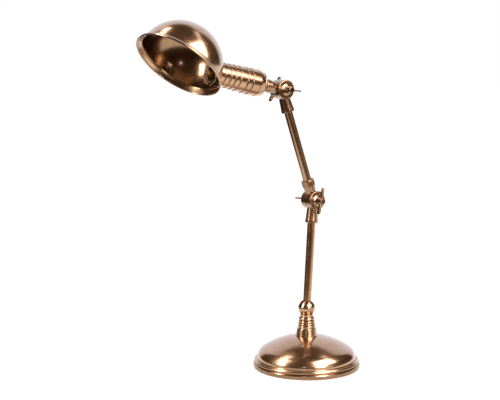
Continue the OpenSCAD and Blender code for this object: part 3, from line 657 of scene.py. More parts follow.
# it fades out over half a pitch at both ends
from_start = add(tree, "ShaderNodeMath", {0: z, 1: size["start"]}, operation="SUBTRACT")
from_end = add(tree, "ShaderNodeMath", {
    0: size["length"], 1: from_start}, operation="SUBTRACT")
nearest = add(tree, "ShaderNodeMath", {0: from_start, 1: from_end}, operation="MINIMUM")
fade = add(tree, "ShaderNodeMath", {0: size["pitch"], 1: 0.5}, operation="MULTIPLY")
inside = add(tree, "ShaderNodeMapRange", {0: nearest, 1: 0, 2: fade})
cut = add(tree, "ShaderNodeMix", {0: inside, 2: size["end_cut"], 3: cut})
cut = add(tree, "ShaderNodeMath", {0: cut, 1: size["depth"]}, operation="MULTIPLY")
inwards = add(tree, "ShaderNodeVectorMath", {0: place, 1: (-1, -1, 0)}, operation="MULTIPLY")
inwards = add(tree, "ShaderNodeVectorMath", {0: inwards}, operation="NORMALIZE")
shift = add(tree, "ShaderNodeVectorMath", {0: inwards, 3: cut}, operation="SCALE")
threaded = add(tree, "GeometryNodeSetPosition", {"Geometry": rod, "Offset": shift})
add(tree, "NodeGroupOutput", {0: threaded})
thread_tree = tree
print("thread tree:", len(tree.nodes), "nodes")

# %% [markdown]
# A rod is one such cylinder. A tube is one with another cut out of it: with no thread inside for the
# steel nipples, and with the same thread inside and out for the lampholder's shell, which is rolled
# from thin sheet. The shell also keeps a floor with a round eye.

# %% Rods and tubes
ROD_SIZES = "radius start length pitch depth around"
tree, size = sized_tree("threaded_rod", ROD_SIZES)
rod = add(tree, "GeometryNodeGroup", {
    "end_cut": 1.0, **{name: size[name] for name in ROD_SIZES.split()}}, node_tree=thread_tree)
rod_tree = finished(tree, rod, size)

CUT_PAST = 0.05  # a cutter stands this far out of what it cuts
EYE_CUT = 3
OUTER_SIZES = "radius length pitch depth end_cut around"
tree, size = sized_tree("threaded_tube", OUTER_SIZES + " bore bore_depth floor eye")
outer = add(tree, "GeometryNodeGroup", {
    name: size[name] for name in OUTER_SIZES.split()}, node_tree=thread_tree)
room = add(tree, "ShaderNodeMath", {0: size["length"], 1: size["floor"]}, operation="SUBTRACT")
room = add(tree, "ShaderNodeMath", {0: room, 1: CUT_PAST}, operation="ADD")
inner = add(tree, "GeometryNodeGroup", {
    "radius": size["bore"], "start": size["floor"], "length": room, "pitch": size["pitch"],
    "depth": size["bore_depth"], "around": size["around"]}, node_tree=thread_tree)
eye = add(tree, "GeometryNodeMeshCylinder", {
    "Vertices": size["around"], "Radius": size["eye"], "Depth": EYE_CUT}, fill_type="NGON")
cut = add(tree, "GeometryNodeMeshBoolean", {
    "Mesh 1": outer, "Mesh 2": [inner, eye]}, operation="DIFFERENCE", solver="EXACT")
tube_tree = finished(tree, cut, size)

# %% [markdown]
# ## The base
# The cover is one sheet of brass spun over a form: a shallow dome with a tight shoulder, a narrow
# ledge at its foot, a rounded bead and a skirt band. The two arcs of the dome meet where the line
# through their centres cuts them, so the surface runs through without a crease.

# %% Base cover
BASE_R = 82.5
DOME_R = 77
SHOULDER_R = 20
DOME_FOOT = 13.5
DOME_RISE = 36.9
COVER_WALL = 1.5
SEAT_R = 17.75
NIPPLE_R = 5
NIPPLE_HOLE = 5.1
NIPPLE_BORE = 3.5
NIPPLE_FOOT = 3.6
INLET_R = 4.3
INLET_REACH = (70, 90)
shoulder_x = DOME_R - SHOULDER_R
top_r = (shoulder_x ** 2 + DOME_RISE ** 2 - SHOULDER_R ** 2) / (2 * (DOME_RISE - SHOULDER_R))
top_centre = (0, DOME_FOOT + DOME_RISE - top_r)
meet = math.degrees(math.atan2(shoulder_x, DOME_FOOT - top_centre[1]))
seat_z = top_centre[1] + math.sqrt(top_r ** 2 - SEAT_R ** 2)


def dome_line(inset):
    """Outline of the dome from its seat to its foot, set in by a wall."""
    r = top_r - inset
    low = seat_z - inset - top_centre[1]
    first = math.degrees(math.acos(min(1, low / r)))
    return (arc(top_centre, r, first, meet, 24)[:-1]
            + arc((shoulder_x, DOME_FOOT), SHOULDER_R - inset, meet, 90, 20))


SKIRT_LOW, SKIRT_TOP, SKIRT_BULGE = 0.6, 7, 9
BEAD_TOP, BEAD_OUT, BEAD_BULGE = 12.5, 81.3, 3.4
SKIRT_IN = 80.8
INNER_R = 79.2


def bulge(out_r, low, high, radius):
    """Outside of a band that swells to out_r between two heights, from the upper one down."""
    half = math.degrees(math.asin((high - low) / 2 / radius))
    return arc((out_r - radius, (low + high) / 2), radius, 90 - half, 90 + half, 12)


bead = bulge(BEAD_OUT, SKIRT_TOP, BEAD_TOP, BEAD_BULGE)
skirt = bulge(BASE_R, SKIRT_LOW, SKIRT_TOP, SKIRT_BULGE)
outline = [(NIPPLE_HOLE, seat_z)] + dome_line(0)
outline += rounded([outline[-1], (DOME_R, DOME_FOOT), (INNER_R + COVER_WALL / 2, DOME_FOOT, 0.3),
                    (INNER_R + COVER_WALL / 2, BEAD_TOP), bead[0]], False)[1:-1]
outline += bead + [(bead[-1][0], SKIRT_TOP)] + skirt
outline += [(SKIRT_IN, SKIRT_LOW), (SKIRT_IN, SKIRT_TOP - COVER_WALL),
            (INNER_R, SKIRT_TOP - COVER_WALL), (INNER_R, DOME_FOOT - COVER_WALL),
            (DOME_R - COVER_WALL, DOME_FOOT - COVER_WALL)]
outline += dome_line(COVER_WALL)[::-1] + [(NIPPLE_HOLE, seat_z - COVER_WALL)]
base_cover = turned("spun_base_cover", outline, at_base, 192)
BUSHING_Z = 8.75
at_inlet = raised(BUSHING_Z) @ swung(90, "Y")
inlet_hole = bar("inlet_hole", INLET_R, *INLET_REACH, at_inlet, steps=48)
worked(base_cover, [inlet_hole], "DIFFERENCE")
brass_fit(base_cover, "base", "base_cover")

# %% [markdown]
# The pad under the base is cut from a sheet of wool felt, the weight is a rough casting, and the lead
# comes in through a rubber bushing at the back.

# %% Pad, weight and bushing
FELT_R, FELT_H = 80.6, 2
LEAD_R = 3.2
BUSHING_BACK, BUSHING_R = 78.2, 4.2
FLANGE_R, FLANGE_T = 5.4, 1.2
pad = bar("felt_pad", FELT_R, 0, FELT_H, at_base, 0.5, 128)
fit(pad, "base", felt, ["base_felt"])
bushing = turned("inlet_bushing", rounded([
    (LEAD_R, BUSHING_BACK), (BUSHING_R, BUSHING_BACK), (BUSHING_R, BASE_R), (FLANGE_R, BASE_R, 0.3),
    (FLANGE_R, BASE_R + FLANGE_T, 0.6), (LEAD_R, BASE_R + FLANGE_T, 0.5),
]), at_inlet, 64)
fit(bushing, "base", rubber, ["cord_bushing"])
dress(cast_iron, "base_weight")
dress(zinc_steel, "nipple_washer", "nipple_nut", "swivel_washer", "swivel_nut")

# %% [markdown]
# ## The stem
# A tapered foot stands on the dome, and over it sits a turned column with three small rings, a round
# bead and a short neck. Rings and grooves repeat at one pitch, each ring a little smaller than the one
# below, so a loop draws them.

# %% Cone and column
CONE_R, CONE_TOP_R, CONE_H = 17.25, 15.1, 12
SPIGOT_R, SPIGOT_H = 9.6, 3.5
NIPPLE_SEAT = 1.6
cone_top = seat_z + CONE_H
cone = turned("stem_foot", rounded([
    (NIPPLE_HOLE, seat_z), (CONE_R, seat_z, 0.4), (CONE_TOP_R, cone_top, 0.7), (SPIGOT_R, cone_top),
    (SPIGOT_R, cone_top + SPIGOT_H, 0.3), (NIPPLE_BORE, cone_top + SPIGOT_H),
    (NIPPLE_BORE, cone_top - NIPPLE_SEAT), (NIPPLE_HOLE, cone_top - NIPPLE_SEAT),
]), at_base, 96)
brass_fit(cone, "base", "stem_cone")

RINGS = 3
RING_PITCH = 3.7
RING_R = 13.8
RING_STEP = 0.5
RING_ROUND = 1.6
RING_GROOVE = 1.4
BEAD_R = 12.6
BEAD_ROUND = 2.8
NECK_R = 10
NECK_H = 3.4
NECK_LIP = 0.9
NECK_BORE, NECK_DEPTH = 4.85, 7.5
COLUMN_BORE = 9.7
RING_FOOT = 1.2
ring_z = cone_top + RING_FOOT
column_line = [(COLUMN_BORE, cone_top), (RING_R - RING_GROOVE, cone_top)]
ring_half = math.degrees(math.acos((RING_ROUND - RING_GROOVE) / RING_ROUND))
for i in range(RINGS):
    middle = (RING_R - i * RING_STEP - RING_ROUND, ring_z + (i + 0.5) * RING_PITCH)
    column_line += arc(middle, RING_ROUND, 90 + ring_half, 90 - ring_half, 12)
bead_z = ring_z + RINGS * RING_PITCH
column_line += arc((BEAD_R - BEAD_ROUND, bead_z + BEAD_ROUND), BEAD_ROUND, 180, 0, 16)
neck_z = bead_z + 2 * BEAD_ROUND
neck_top = neck_z + NECK_H
column_line += rounded([
    (BEAD_R - BEAD_ROUND, neck_z), (NECK_R + NECK_LIP, neck_z, 0.2),
    (NECK_R + NECK_LIP, neck_z + NECK_LIP, 0.3), (NECK_R, neck_z + NECK_LIP, 0.3),
    (NECK_R, neck_top, 0.3), (NECK_BORE, neck_top), (NECK_BORE, neck_top - NECK_DEPTH),
    (COLUMN_BORE, neck_top - NECK_DEPTH),
], False)[1:]
column = turned("turned_column", column_line, at_base, 96)
brass_fit(column, "base", "stem_column")


def nipple(name, low, high, place, body, node):
    """A threaded steel tube that the lead runs through, between two heights."""
    piece = grown(name, tube_tree, zinc_steel, place @ raised(low),
                  radius=NIPPLE_R, bore=NIPPLE_BORE, length=high - low, pitch=FINE_PITCH,
                  depth=FINE_DEPTH, bore_depth=0, end_cut=1, floor=-1, eye=2, around=48)
    fit(piece, body, zinc_steel, [node])


nipple("base_nipple", NIPPLE_FOOT, cone_top - NIPPLE_SEAT, at_base, "base", "threaded_nipple")

# %% [markdown]
# ## The swivel ball
# A solid ball with a deep slot turns on the neck. The arm's flat eye swings in the slot on a pin.

# %% Flat pieces
def plate(name, outline, thickness, place, edge=0):
    """A flat piece from an outline of (x, z) points, as thick as given along Y, with rounded edges."""
    bm = bmesh.new()
    face = bm.faces.new([bm.verts.new((x, -thickness / 2, z)) for x, z in outline])
    far = bmesh.ops.extrude_face_region(bm, geom=[face])["geom"]
    far = [v for v in far if isinstance(v, bmesh.types.BMVert)]
    bmesh.ops.translate(bm, vec=(0, thickness, 0), verts=far)
    if edge:
        rims = [e for e in bm.edges if abs(e.verts[0].co.y - e.verts[1].co.y) < 1e-6]
        bmesh.ops.bevel(bm, geom=rims, offset=edge, segments=4, profile=0.5, affect="EDGES",
                        clamp_overlap=True)
    mesh = bpy.data.meshes.new(name)
    bm.to_mesh(mesh)
    bm.free()
    return as_piece(name, mesh, place)


# %% Ball and pin
BALL_R = 13.35
SEAT_DROP = 9.86
SLOT_W = 6.6
SLOT_ANGLE = 75
EYE_ROOM = 7.8
PIN_R, PIN_REACH = 2.5, 13
SPINDLE_R, SPINDLE_END = 4.8, -23.5
ball_foot = arc((0, 0), BALL_R, 0, math.degrees(math.acos(-SEAT_DROP / BALL_R)), 48)
spindle = rounded([(BALL_R, -SEAT_DROP), (SPINDLE_R, -SEAT_DROP), (SPINDLE_R, SPINDLE_END, 0.5),
                   (0, SPINDLE_END)], False)[1:]
ball = turned("slotted_ball", ball_foot + spindle, at_ball, 128, False)
far_x, far_z = arc((0, 0), 2 * BALL_R, SLOT_ANGLE, SLOT_ANGLE, 1)[0]
slot_line = arc((0, 0), EYE_ROOM, SLOT_ANGLE, 360 - SLOT_ANGLE, 36) + [
    (-far_x, far_z), (-far_x, 2 * BALL_R), (far_x, 2 * BALL_R), (far_x, far_z)]
slot = plate("slot", slot_line, SLOT_W, at_ball)
pin_hole = bar("pin_hole", PIN_R, -BALL_R, BALL_R, at_ball @ ALONG_Y)
worked(ball, [slot, pin_hole], "DIFFERENCE")
brass_fit(ball, "swivel", "swivel_ball")
pin = bar("pivot_pin", PIN_R, -PIN_REACH, PIN_REACH, at_ball @ ALONG_Y, 0.4)
fit(pin, "swivel", dark_brass, ["tilt_pin"])

# %% [markdown]
# ## The arms
# Both arms are half-inch brass tube. The lower one ends in a flat eye with a round shank inside the
# tube, the other ends sit in the collars of the knuckles.

# %% Tubes and eye
PLAY = 0.05  # between pieces that turn on each other
TUBE_R = 6.35
BORE_R = 5.15
ARM_FOOT = 13.65
LONG_SOCKET, SHORT_SOCKET = 23, 21  # from a knuckle's centre to the end of the tube in its collar
lower_end = (elbow_place - ball_place).length / MM - LONG_SOCKET
upper_end = (wrist_place - elbow_place).length / MM - LONG_SOCKET


def tube(name, low_out, low_in, high, place):
    """A drawn tube; its lower end may be hollowed to clear the ball."""
    return turned(name, rounded([
        (BORE_R, low_in), (TUBE_R, low_out, 0.3), (TUBE_R, high, 0.3), (BORE_R, high),
    ]), place, 64)


foot_out, foot_in = (math.sqrt(ARM_FOOT ** 2 - radius ** 2) for radius in (TUBE_R, BORE_R))
lower_tube = tube("lower_tube", foot_out, foot_in, lower_end, at_lower)
fit(lower_tube, "lower_arm", tube_brass, ["lower_arm_tube"])
upper_tube = tube("upper_tube", SHORT_SOCKET, SHORT_SOCKET, upper_end, at_upper)
fit(upper_tube, "upper_arm", tube_brass, ["upper_arm_tube"])

EYE_R = 7.5
BLADE_W, BLADE_END = 8, 14.6
SHANK_END = 33.6
LUG_T = 6.2
blade_angle = math.degrees(math.asin(BLADE_W / 2 / EYE_R))
lug_line = arc((0, 0), EYE_R, blade_angle, 360 - blade_angle, 40)
lug_line += [(-BLADE_W / 2, BLADE_END), (BLADE_W / 2, BLADE_END)]
lug = plate("flat_eye", lug_line, LUG_T, at_lower, 0.4)
shank = turned("shank", rounded([
    (0, ARM_FOOT), (BORE_R, ARM_FOOT), (BORE_R, SHANK_END, 0.5), (0, SHANK_END),
], False), at_lower, 64, False)
worked(lug, [shank], "UNION")
worked(lug, [bar("eye_hole", PIN_R + PLAY, -LUG_T, LUG_T, at_lower @ ALONG_Y)], "DIFFERENCE")
brass_fit(lug, "lower_arm", "tilt_lug")

# %% [markdown]
# ## The knuckles
# Each knuckle has two cast halves that face each other over a fibre washer. A half is a thick disc
# with a boss that grows into a collar for its tube, and where the other half's disc swings past, the
# boss is cut away. Disc and boss are spun apart, joined, and then cut.

# %% Knuckle halves
DISC_R = 14.4
HALF_T = 12
FRICTION = 0.4
BOSS_R, BOSS_END_R = 8.3, 9.6
COLLAR_R = 10
SWING_R = 15
BOLT_R = 3.1


def knuckle(name, side, boss_l, collar_l, socket_z, socket_r, place):
    """One half, its boss along +Z; side is -1 for the near half and 1 for the far one."""
    faces = sorted([side * FRICTION, side * HALF_T])
    edges = (0.25, 1) if side > 0 else (1, 0.25)
    across = place @ ALONG_Y
    disc = turned(name, rounded([
        (0, faces[0]), (DISC_R, faces[0], edges[0]), (DISC_R, faces[1], edges[1]), (0, faces[1]),
    ], False), across, 96, False)
    top = boss_l + collar_l
    boss = turned("boss", rounded([
        (0, 0), (BOSS_R, 0), (BOSS_R, DISC_R), (BOSS_END_R, boss_l), (COLLAR_R, boss_l, 0.2),
        (COLLAR_R, top, 0.8), (socket_r + 0.1, top, 0.3), (socket_r + 0.1, socket_z), (0, socket_z),
    ], False), place, 96, False)
    room = sorted([side * (FRICTION + 0.02), -side * (HALF_T + FRICTION)])
    swing = bar("swing", SWING_R, *room, across, steps=96)
    worked(disc, [worked(boss, [swing], "DIFFERENCE")], "UNION")
    return worked(disc, [bar("hole", BOLT_R, -HALF_T - 1, HALF_T + 1, across)], "DIFFERENCE")


LONG_BOSS, LONG_COLLAR = 31, 4
SHORT_BOSS, SHORT_COLLAR = 24, 9.2
for name, body, socket_r, place in (
        ("elbow_near", "lower_arm", TUBE_R, stand(elbow_place, lower_lean + 180)),
        ("elbow_far", "upper_arm", TUBE_R, at_upper),
        ("wrist_near", "upper_arm", TUBE_R, stand(wrist_place, upper_lean + 180)),
        ("wrist_far", "head", NIPPLE_R, at_head)):
    sizes = (1, SHORT_BOSS, SHORT_COLLAR, SHORT_SOCKET)
    if name.endswith("near"):
        sizes = (-1, LONG_BOSS, LONG_COLLAR, LONG_SOCKET)
    casting = knuckle(f"{name}_casting", *sizes, socket_r, place)
    fit(casting, body, cast_brass, [f"{name}_half"])
dress(fibre, "elbow_friction_washer", "wrist_friction_washer")

# %% [markdown]
# ## Washers and wings
# A domed washer lies on each face of a knuckle, and a wing bolt and a wing nut pinch it together.
# Wings are pressed thin and their edges are rounded over, so a bevel of nearly half the thickness is
# used on them.

# %% Domed washers
WASHER_R = 8.5
WASHER_H = 2.4
WASHER_FLAT = 1.8
cap_r = (WASHER_R ** 2 + WASHER_H ** 2) / (2 * WASHER_H)
flat_angle = math.degrees(math.acos((WASHER_FLAT - WASHER_H + cap_r) / cap_r))
foot_angle = math.degrees(math.asin(WASHER_R / cap_r))


def faced(place, side):
    """The near (-1) or far (1) side of a knuckle, with +Z pointing out of it."""
    return stand(place) @ swung(-90 * side, "X")


washer_line = [(BOLT_R, HALF_T), (WASHER_R, HALF_T)]
washer_line += arc((0, HALF_T + WASHER_H - cap_r), cap_r, foot_angle, flat_angle, 10)[1:]
washer_line += [(BOLT_R, HALF_T + WASHER_FLAT)]
for place, joint, side, body in (
        (elbow_place, "elbow", -1, "lower_arm"), (elbow_place, "elbow", 1, "upper_arm"),
        (wrist_place, "wrist", -1, "upper_arm"), (wrist_place, "wrist", 1, "head")):
    word = "near" if side < 0 else "far"
    washer = turned(f"{joint}_{word}_domed_washer", washer_line, faced(place, side), 64)
    fit(washer, body, dark_brass, [f"{joint}_{word}_washer"])

# %% Wing bolts and wing nuts
WING_REACH = 20.5
WING_W = 7
WING_T = 2.6
WING_ROOT = 2.5
HUB_R, HUB_END_R = 5.7, 4.5
NUT_HUB_H, NUT_WING_Z = 12, 2.6
BOLT_HUB_H, BOLT_WING_Z = 5, 0.6
NUT_BORE = 3.05
ROD_R, ROD_LENGTH = 3, 38.6
TURNS = {"elbow": (78, 172), "wrist": (173, 63)}  # of the nut and of the bolt at rest, in degrees


def winged(name, hub_h, wing_z, place):
    """A hub with two wings, standing on z = 0."""
    tip = WING_REACH - WING_W / 2
    hub = turned(name, rounded([(0, 0), (HUB_R, 0, 0.3), (HUB_END_R, hub_h, 0.7), (0, hub_h)], False),
                 place, 64, False)
    middle = wing_z + WING_W / 2
    line = ([(0, middle - WING_ROOT)] + arc((tip, middle), WING_W / 2, 180, 0, 20)
            + [(0, middle + WING_ROOT)] + arc((-tip, middle), WING_W / 2, 0, -180, 20))
    return worked(hub, [plate("wings", line, WING_T, place, 1)], "UNION")


for place, joint in ((elbow_place, "elbow"), (wrist_place, "wrist")):
    nut_turn, bolt_turn = TURNS[joint]
    near = faced(place, -1) @ raised(HALF_T + WASHER_FLAT) @ swung(nut_turn, "Z")
    nut = winged(f"{joint}_nut_with_wings", NUT_HUB_H, NUT_WING_Z, near)
    bore = bar("bore", NUT_BORE, -1, NUT_HUB_H + 2, near, steps=48)
    worked(nut, [bore], "DIFFERENCE")
    fit(nut, f"{joint}_nut", wing_brass, [f"{joint}_wing_nut"])
    far = faced(place, 1) @ raised(HALF_T + WASHER_FLAT) @ swung(-bolt_turn, "Z")
    bolt = winged(f"{joint}_bolt_with_wings", BOLT_HUB_H, BOLT_WING_Z, far)
    rod = grown("rod", rod_tree, wing_brass, far, radius=ROD_R, start=-ROD_LENGTH,
                length=ROD_LENGTH + 1, pitch=FINE_PITCH, depth=FINE_DEPTH, around=32)
    worked(bolt, [rod], "UNION")
    fit(bolt, f"{joint}_bolt", wing_brass, [f"{joint}_wing_bolt"])

# %% [markdown]
# ## The lampholder
# A half round cap closes the back of the lampholder. In front of it come ribs that are worked into the
# cover, two threaded rings that clamp the shade, and the shade's own collar. All of them are ribs with
# broken edges and a groove in front, each a little smaller than the last.

# %% Cap, cover and rings
CAP_R = 20
CAP_WALL = 1.6
CAP_FLAT_R = 8.1
CAP_FLOOR = 3.2
CAP_EDGE = 153  # where the sphere of the cap ends at its flat back, in degrees from +Z
CAP_GROOVE = 121  # the groove round the cap, in degrees from +Z
CAP_GROOVE_HALF = 2.6
RIB_R = 19.8
RIB_STEP = 0.425
RIB_EDGE = 0.7
GROOVE_W = 1.2
GROOVE_DEPTH = 1.3
NOSE_R = 15.7
cap_back = SHORT_BOSS + SHORT_COLLAR
cap_z = cap_back + math.sqrt(CAP_R ** 2 - CAP_FLAT_R ** 2)
COVER_BORE, COVER_BACK_R, COVER_LAP = 14.6, 17.8, 4
rib_lengths = [14.4, 9, 12.5, 8.4, 8.4, 8.4]
rib_z = [cap_z + sum(rib_lengths[:i]) for i in range(len(rib_lengths) + 1)]


def from_back(radius, at):
    """Angle from +Z, in degrees, of a point on the cap's sphere at a distance from the axis."""
    return 180 - math.degrees(math.asin(at / radius))


cap_at = (0, cap_z)
cap_in_r = CAP_R - CAP_WALL
groove_at = arc(cap_at, CAP_R, CAP_GROOVE, CAP_GROOVE, 1)[0]
cap_line = rounded([(NIPPLE_HOLE, cap_back), (CAP_FLAT_R, cap_back, 0.3),
                    arc(cap_at, CAP_R, CAP_EDGE, CAP_EDGE, 1)[0]], False)[:-1]
cap_line += arc(cap_at, CAP_R, CAP_EDGE, CAP_GROOVE + CAP_GROOVE_HALF, 14)
cap_line += arc(groove_at, CAP_WALL / 2, CAP_GROOVE + 85, CAP_GROOVE - 85, 8)
cap_line += arc(cap_at, CAP_R, CAP_GROOVE - CAP_GROOVE_HALF, 90, 16)
cap_line += arc(cap_at, cap_in_r, 90, from_back(cap_in_r, CAP_FLAT_R), 20)
cap_line += [(CAP_FLAT_R, cap_back + CAP_FLOOR), (NIPPLE_HOLE, cap_back + CAP_FLOOR)]
cap = turned("half_round_cap", cap_line, at_head, 128)
brass_fit(cap, "head", "lampholder_cap")


def rib_radius(i):
    return RIB_R - i * RIB_STEP


def rib_line(i):
    """Outside of rib number i, with its groove in front."""
    r, low, high = rib_radius(i), rib_z[i], rib_z[i + 1]
    core = r - GROOVE_DEPTH
    return [(core, low), (r, low, RIB_EDGE), (r, high - GROOVE_W, RIB_EDGE),
            (core, high - GROOVE_W, 0.3), (core, high)]


reach = (dome_place - wrist_place).length / MM
INNER_DOME_R = 60.8
RING_NUT_R, RING_NUT_H = NOSE_R + 3.2, 4
nut_back = reach - math.sqrt(INNER_DOME_R ** 2 - RING_NUT_R ** 2) + 0.3
nose_end = nut_back + RING_NUT_H
cover_foot = cap_z - COVER_LAP
cover_line = [(COVER_BORE, cover_foot), (COVER_BACK_R, cover_foot), (COVER_BACK_R, cap_z)]
for i in range(3):
    cover_line += rib_line(i)
cover_line += [(NOSE_R, rib_z[3]), (NOSE_R, nose_end, 0.4), (COVER_BORE, nose_end, 0.3)]
cover = turned("ribbed_cover", rounded(cover_line), at_head, 128)
brass_fit(cover, "head", "lampholder_cover")
for i, word in ((3, "rear"), (4, "front")):
    line = [(NOSE_R + 0.1, rib_z[i])] + rib_line(i) + [(NOSE_R + 0.1, rib_z[i + 1])]
    ring = turned(f"{word}_clamp_ring", rounded(line), at_head, 128)
    brass_fit(ring, "head", f"clamp_ring_{word}")

# %% [markdown]
# The shade's collar ends in a hollow face that fits the dome, and a ring nut inside the dome pulls
# the two together.

# %% Collar and ring nut
SHADE_R = 62


def on_dome(radius):
    """Distance along the head's axis at which the dome's outside has this distance from the axis."""
    return reach - math.sqrt((SHADE_R + PLAY) ** 2 - radius ** 2)


last = rib_radius(6)
collar_in, collar_back = NOSE_R + PLAY, rib_z[5] + PLAY
collar_line = [(collar_in, collar_back), (rib_radius(5) - GROOVE_DEPTH, collar_back),
               (rib_radius(5), collar_back, RIB_EDGE)] + rib_line(5)[2:]
collar_line += [(last, rib_z[6], RIB_EDGE), (last, on_dome(last)), (collar_in, on_dome(collar_in))]
collar = turned("dome_collar", rounded(collar_line), at_head, 128)
brass_fit(collar, "shade", "shade_collar")
ring_nut = turned("dome_ring_nut", rounded([
    (NOSE_R + 0.1, nut_back), (RING_NUT_R, nut_back, 0.4), (RING_NUT_R, nose_end, 0.8),
    (NOSE_R + 0.1, nose_end, 0.3),
]), at_head, 96)
brass_fit(ring_nut, "head", "shade_ring_nut")

# %% [markdown]
# Inside the lampholder a porcelain core carries the rolled shell that a bulb screws into, with a
# centre contact behind it. Two slotted screws hold the wires at its back: one tree makes a head,
# sinks its slot and sets it on two points.

# %% Porcelain core and contact
INSULATOR_R = 14.5
SHELL_R = 13.5
SHELL_WALL = 0.4
SHELL_L = 48
SHELL_PITCH, SHELL_DEPTH = 3.63, 0.8
SHELL_EYE = 9
CONTACT_R, CONTACT_H = 4.5, 2
BUTTON_R = 2
CORE_BACK, CORE_INSET, SHELL_INSET = 5, 1, 1.5
NIPPLE_REACH = 6
insulator_back = cap_z + CORE_BACK
insulator_front = nose_end - CORE_INSET
shell_front = insulator_front - SHELL_INSET
shell_back = shell_front - SHELL_L
contact_back = shell_back + SHELL_WALL - CONTACT_H
insulator = turned("porcelain_core", rounded([
    (0, insulator_back), (INSULATOR_R, insulator_back, 0.6), (INSULATOR_R, insulator_front, 0.5),
    (SHELL_R + 0.1, insulator_front, 0.3), (SHELL_R + 0.1, shell_back), (CONTACT_R + 0.1, shell_back),
    (CONTACT_R + 0.1, contact_back), (0, contact_back),
], False), at_head, 96, False)
fit(insulator, "head", porcelain, ["lampholder_insulator"])
contact = turned("centre_button", rounded([
    (0, contact_back), (CONTACT_R, contact_back), (CONTACT_R, contact_back + SHELL_WALL, 0.1),
    (BUTTON_R, contact_back + SHELL_WALL), (BUTTON_R - 0.9, contact_back + CONTACT_H, 0.4),
    (0, contact_back + CONTACT_H),
], False), at_head, 48, False)
fit(contact, "head", bright_brass, ["centre_contact"])
shell = grown("rolled_shell", tube_tree, bright_brass, at_head @ raised(shell_back),
              radius=SHELL_R, bore=SHELL_R - SHELL_WALL, length=SHELL_L, pitch=SHELL_PITCH,
              depth=SHELL_DEPTH, bore_depth=SHELL_DEPTH, end_cut=0, floor=SHELL_WALL, eye=SHELL_EYE,
              around=64)
fit(shell, "head", bright_brass, ["screw_shell"])
nipple("cap_nipple", SHORT_SOCKET, cap_back + NIPPLE_REACH, at_head, "head", "head_nipple")

# %% Terminal screws
HEAD_TAPER = 0.85
tree, size = sized_tree("slotted_screws", "radius height slot_width slot_depth apart")
crown = add(tree, "ShaderNodeMath", {0: size["radius"], 1: HEAD_TAPER}, operation="MULTIPLY")
head = add(tree, "GeometryNodeMeshCone", {
    "Vertices": 40, "Radius Top": crown, "Radius Bottom": size["radius"], "Depth": size["height"],
}, fill_type="NGON")
across = add(tree, "ShaderNodeMath", {0: size["radius"], 1: 3}, operation="MULTIPLY")
deep = add(tree, "ShaderNodeMath", {0: size["slot_depth"], 1: 2}, operation="MULTIPLY")
blade = add(tree, "ShaderNodeCombineXYZ", {"X": across, "Y": size["slot_width"], "Z": deep})
blade = add(tree, "GeometryNodeMeshCube", {"Size": blade})
at_top = add(tree, "ShaderNodeCombineXYZ", {"Z": size["height"]})
blade = add(tree, "GeometryNodeTransform", {"Geometry": blade, "Translation": at_top})
slotted = add(tree, "GeometryNodeMeshBoolean", {
    "Mesh 1": head, "Mesh 2": blade}, operation="DIFFERENCE", solver="EXACT")
first = add(tree, "ShaderNodeMath", {0: size["apart"], 1: -0.5}, operation="MULTIPLY")
first = add(tree, "ShaderNodeCombineXYZ", {"Y": first})
step = add(tree, "ShaderNodeCombineXYZ", {"Y": size["apart"]})
spots = add(tree, "GeometryNodeMeshLine", {"Count": 2, "Start Location": first, "Offset": step})
screws = add(tree, "GeometryNodeInstanceOnPoints", {"Points": spots, "Instance": slotted})
screw_tree = finished(tree, screws, size)
behind = at_head @ raised(insulator_back) @ swung(180, "X")
terminals = grown("slotted_terminals", screw_tree, bright_brass, behind,
                  radius=2.2, height=1.8, slot_width=0.6, slot_depth=0.8, apart=18)
fit(terminals, "head", bright_brass, ["terminal_screws"])

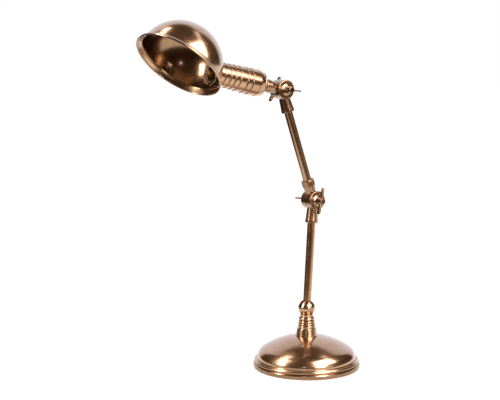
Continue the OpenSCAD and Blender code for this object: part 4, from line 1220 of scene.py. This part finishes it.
# %% [markdown]
# ## The shade
# The shade is one spun shell: a hemisphere, a small bead where it steps out, a flared band and a rim
# that is rolled over a wire. The lampholder goes in through its side, so a round hole is cut there.

# %% Shade
RIM_BEAD_R = 1.4
RIM_R = 67.5
RIM_DROP = 2.8
STEP_Z, STEP_ROUND = 3.6, 1
SHADE_WALL = 1.2
NOSE_PLAY = 0.3
step_at = Vector((math.sqrt(SHADE_R ** 2 - STEP_Z ** 2), STEP_Z))
rim_at = Vector((RIM_R - RIM_BEAD_R, RIM_BEAD_R - RIM_DROP))
# the band runs from the step to the rim, half a wall to each side of the line between them
along = (rim_at - step_at).normalized()
beside = Vector((-along.y, along.x)) * SHADE_WALL / 2
band_turn = math.degrees(math.atan2(along.x, along.y))
band_ends = [step_at + along * 1.5, rim_at - along * 1.7]
step_edge = 90 - math.degrees(math.asin(STEP_Z / SHADE_R)) - 1.3
shade_line = arc((0, 0), SHADE_R, 0, step_edge, 56)
shade_line += arc(step_at, STEP_ROUND, 20, band_turn - 36, 10)
shade_line += [tuple(end + beside) for end in band_ends]
shade_line += arc(rim_at, RIM_BEAD_R, band_turn - 155, band_turn + 155, 24)
shade_line += [tuple(end - beside) for end in reversed(band_ends)]
shade_line += arc(step_at, STEP_ROUND, band_turn + 36, 300, 6)
shade_line += arc((0, 0), INNER_DOME_R, step_edge, 0, 56)
shade = turned("spun_shade", shade_line, at_dome, 224, False)
hole_r, hole_end = NOSE_R + NOSE_PLAY, reach - INNER_DOME_R / 2
nose_room = bar("nose_room", hole_r, 0, hole_end, at_head, steps=96)
worked(shade, [nose_room], "DIFFERENCE")
brass_fit(shade, "shade", "shade")
# the faces that look at the dome's centre from inside its wall take the darker copy: painted shade
# inside the dome
shade.data.materials.append(painted_shade_brass)
middle = (SHADE_R + INNER_DOME_R) / 2 * MM
for face in shade.data.polygons:
    if face.normal.dot(dome_place - face.center) > 0 and (face.center - dome_place).length < middle:
        face.material_index = 1

# %% Finish
low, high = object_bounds()
sizes = {
    "cad_low": list(cad_low), "cad_high": list(cad_high),
    "visual_low": list(low), "visual_high": list(high),
}
print("made", len(made), "pieces; box", [round(v, 4) for v in high - low])
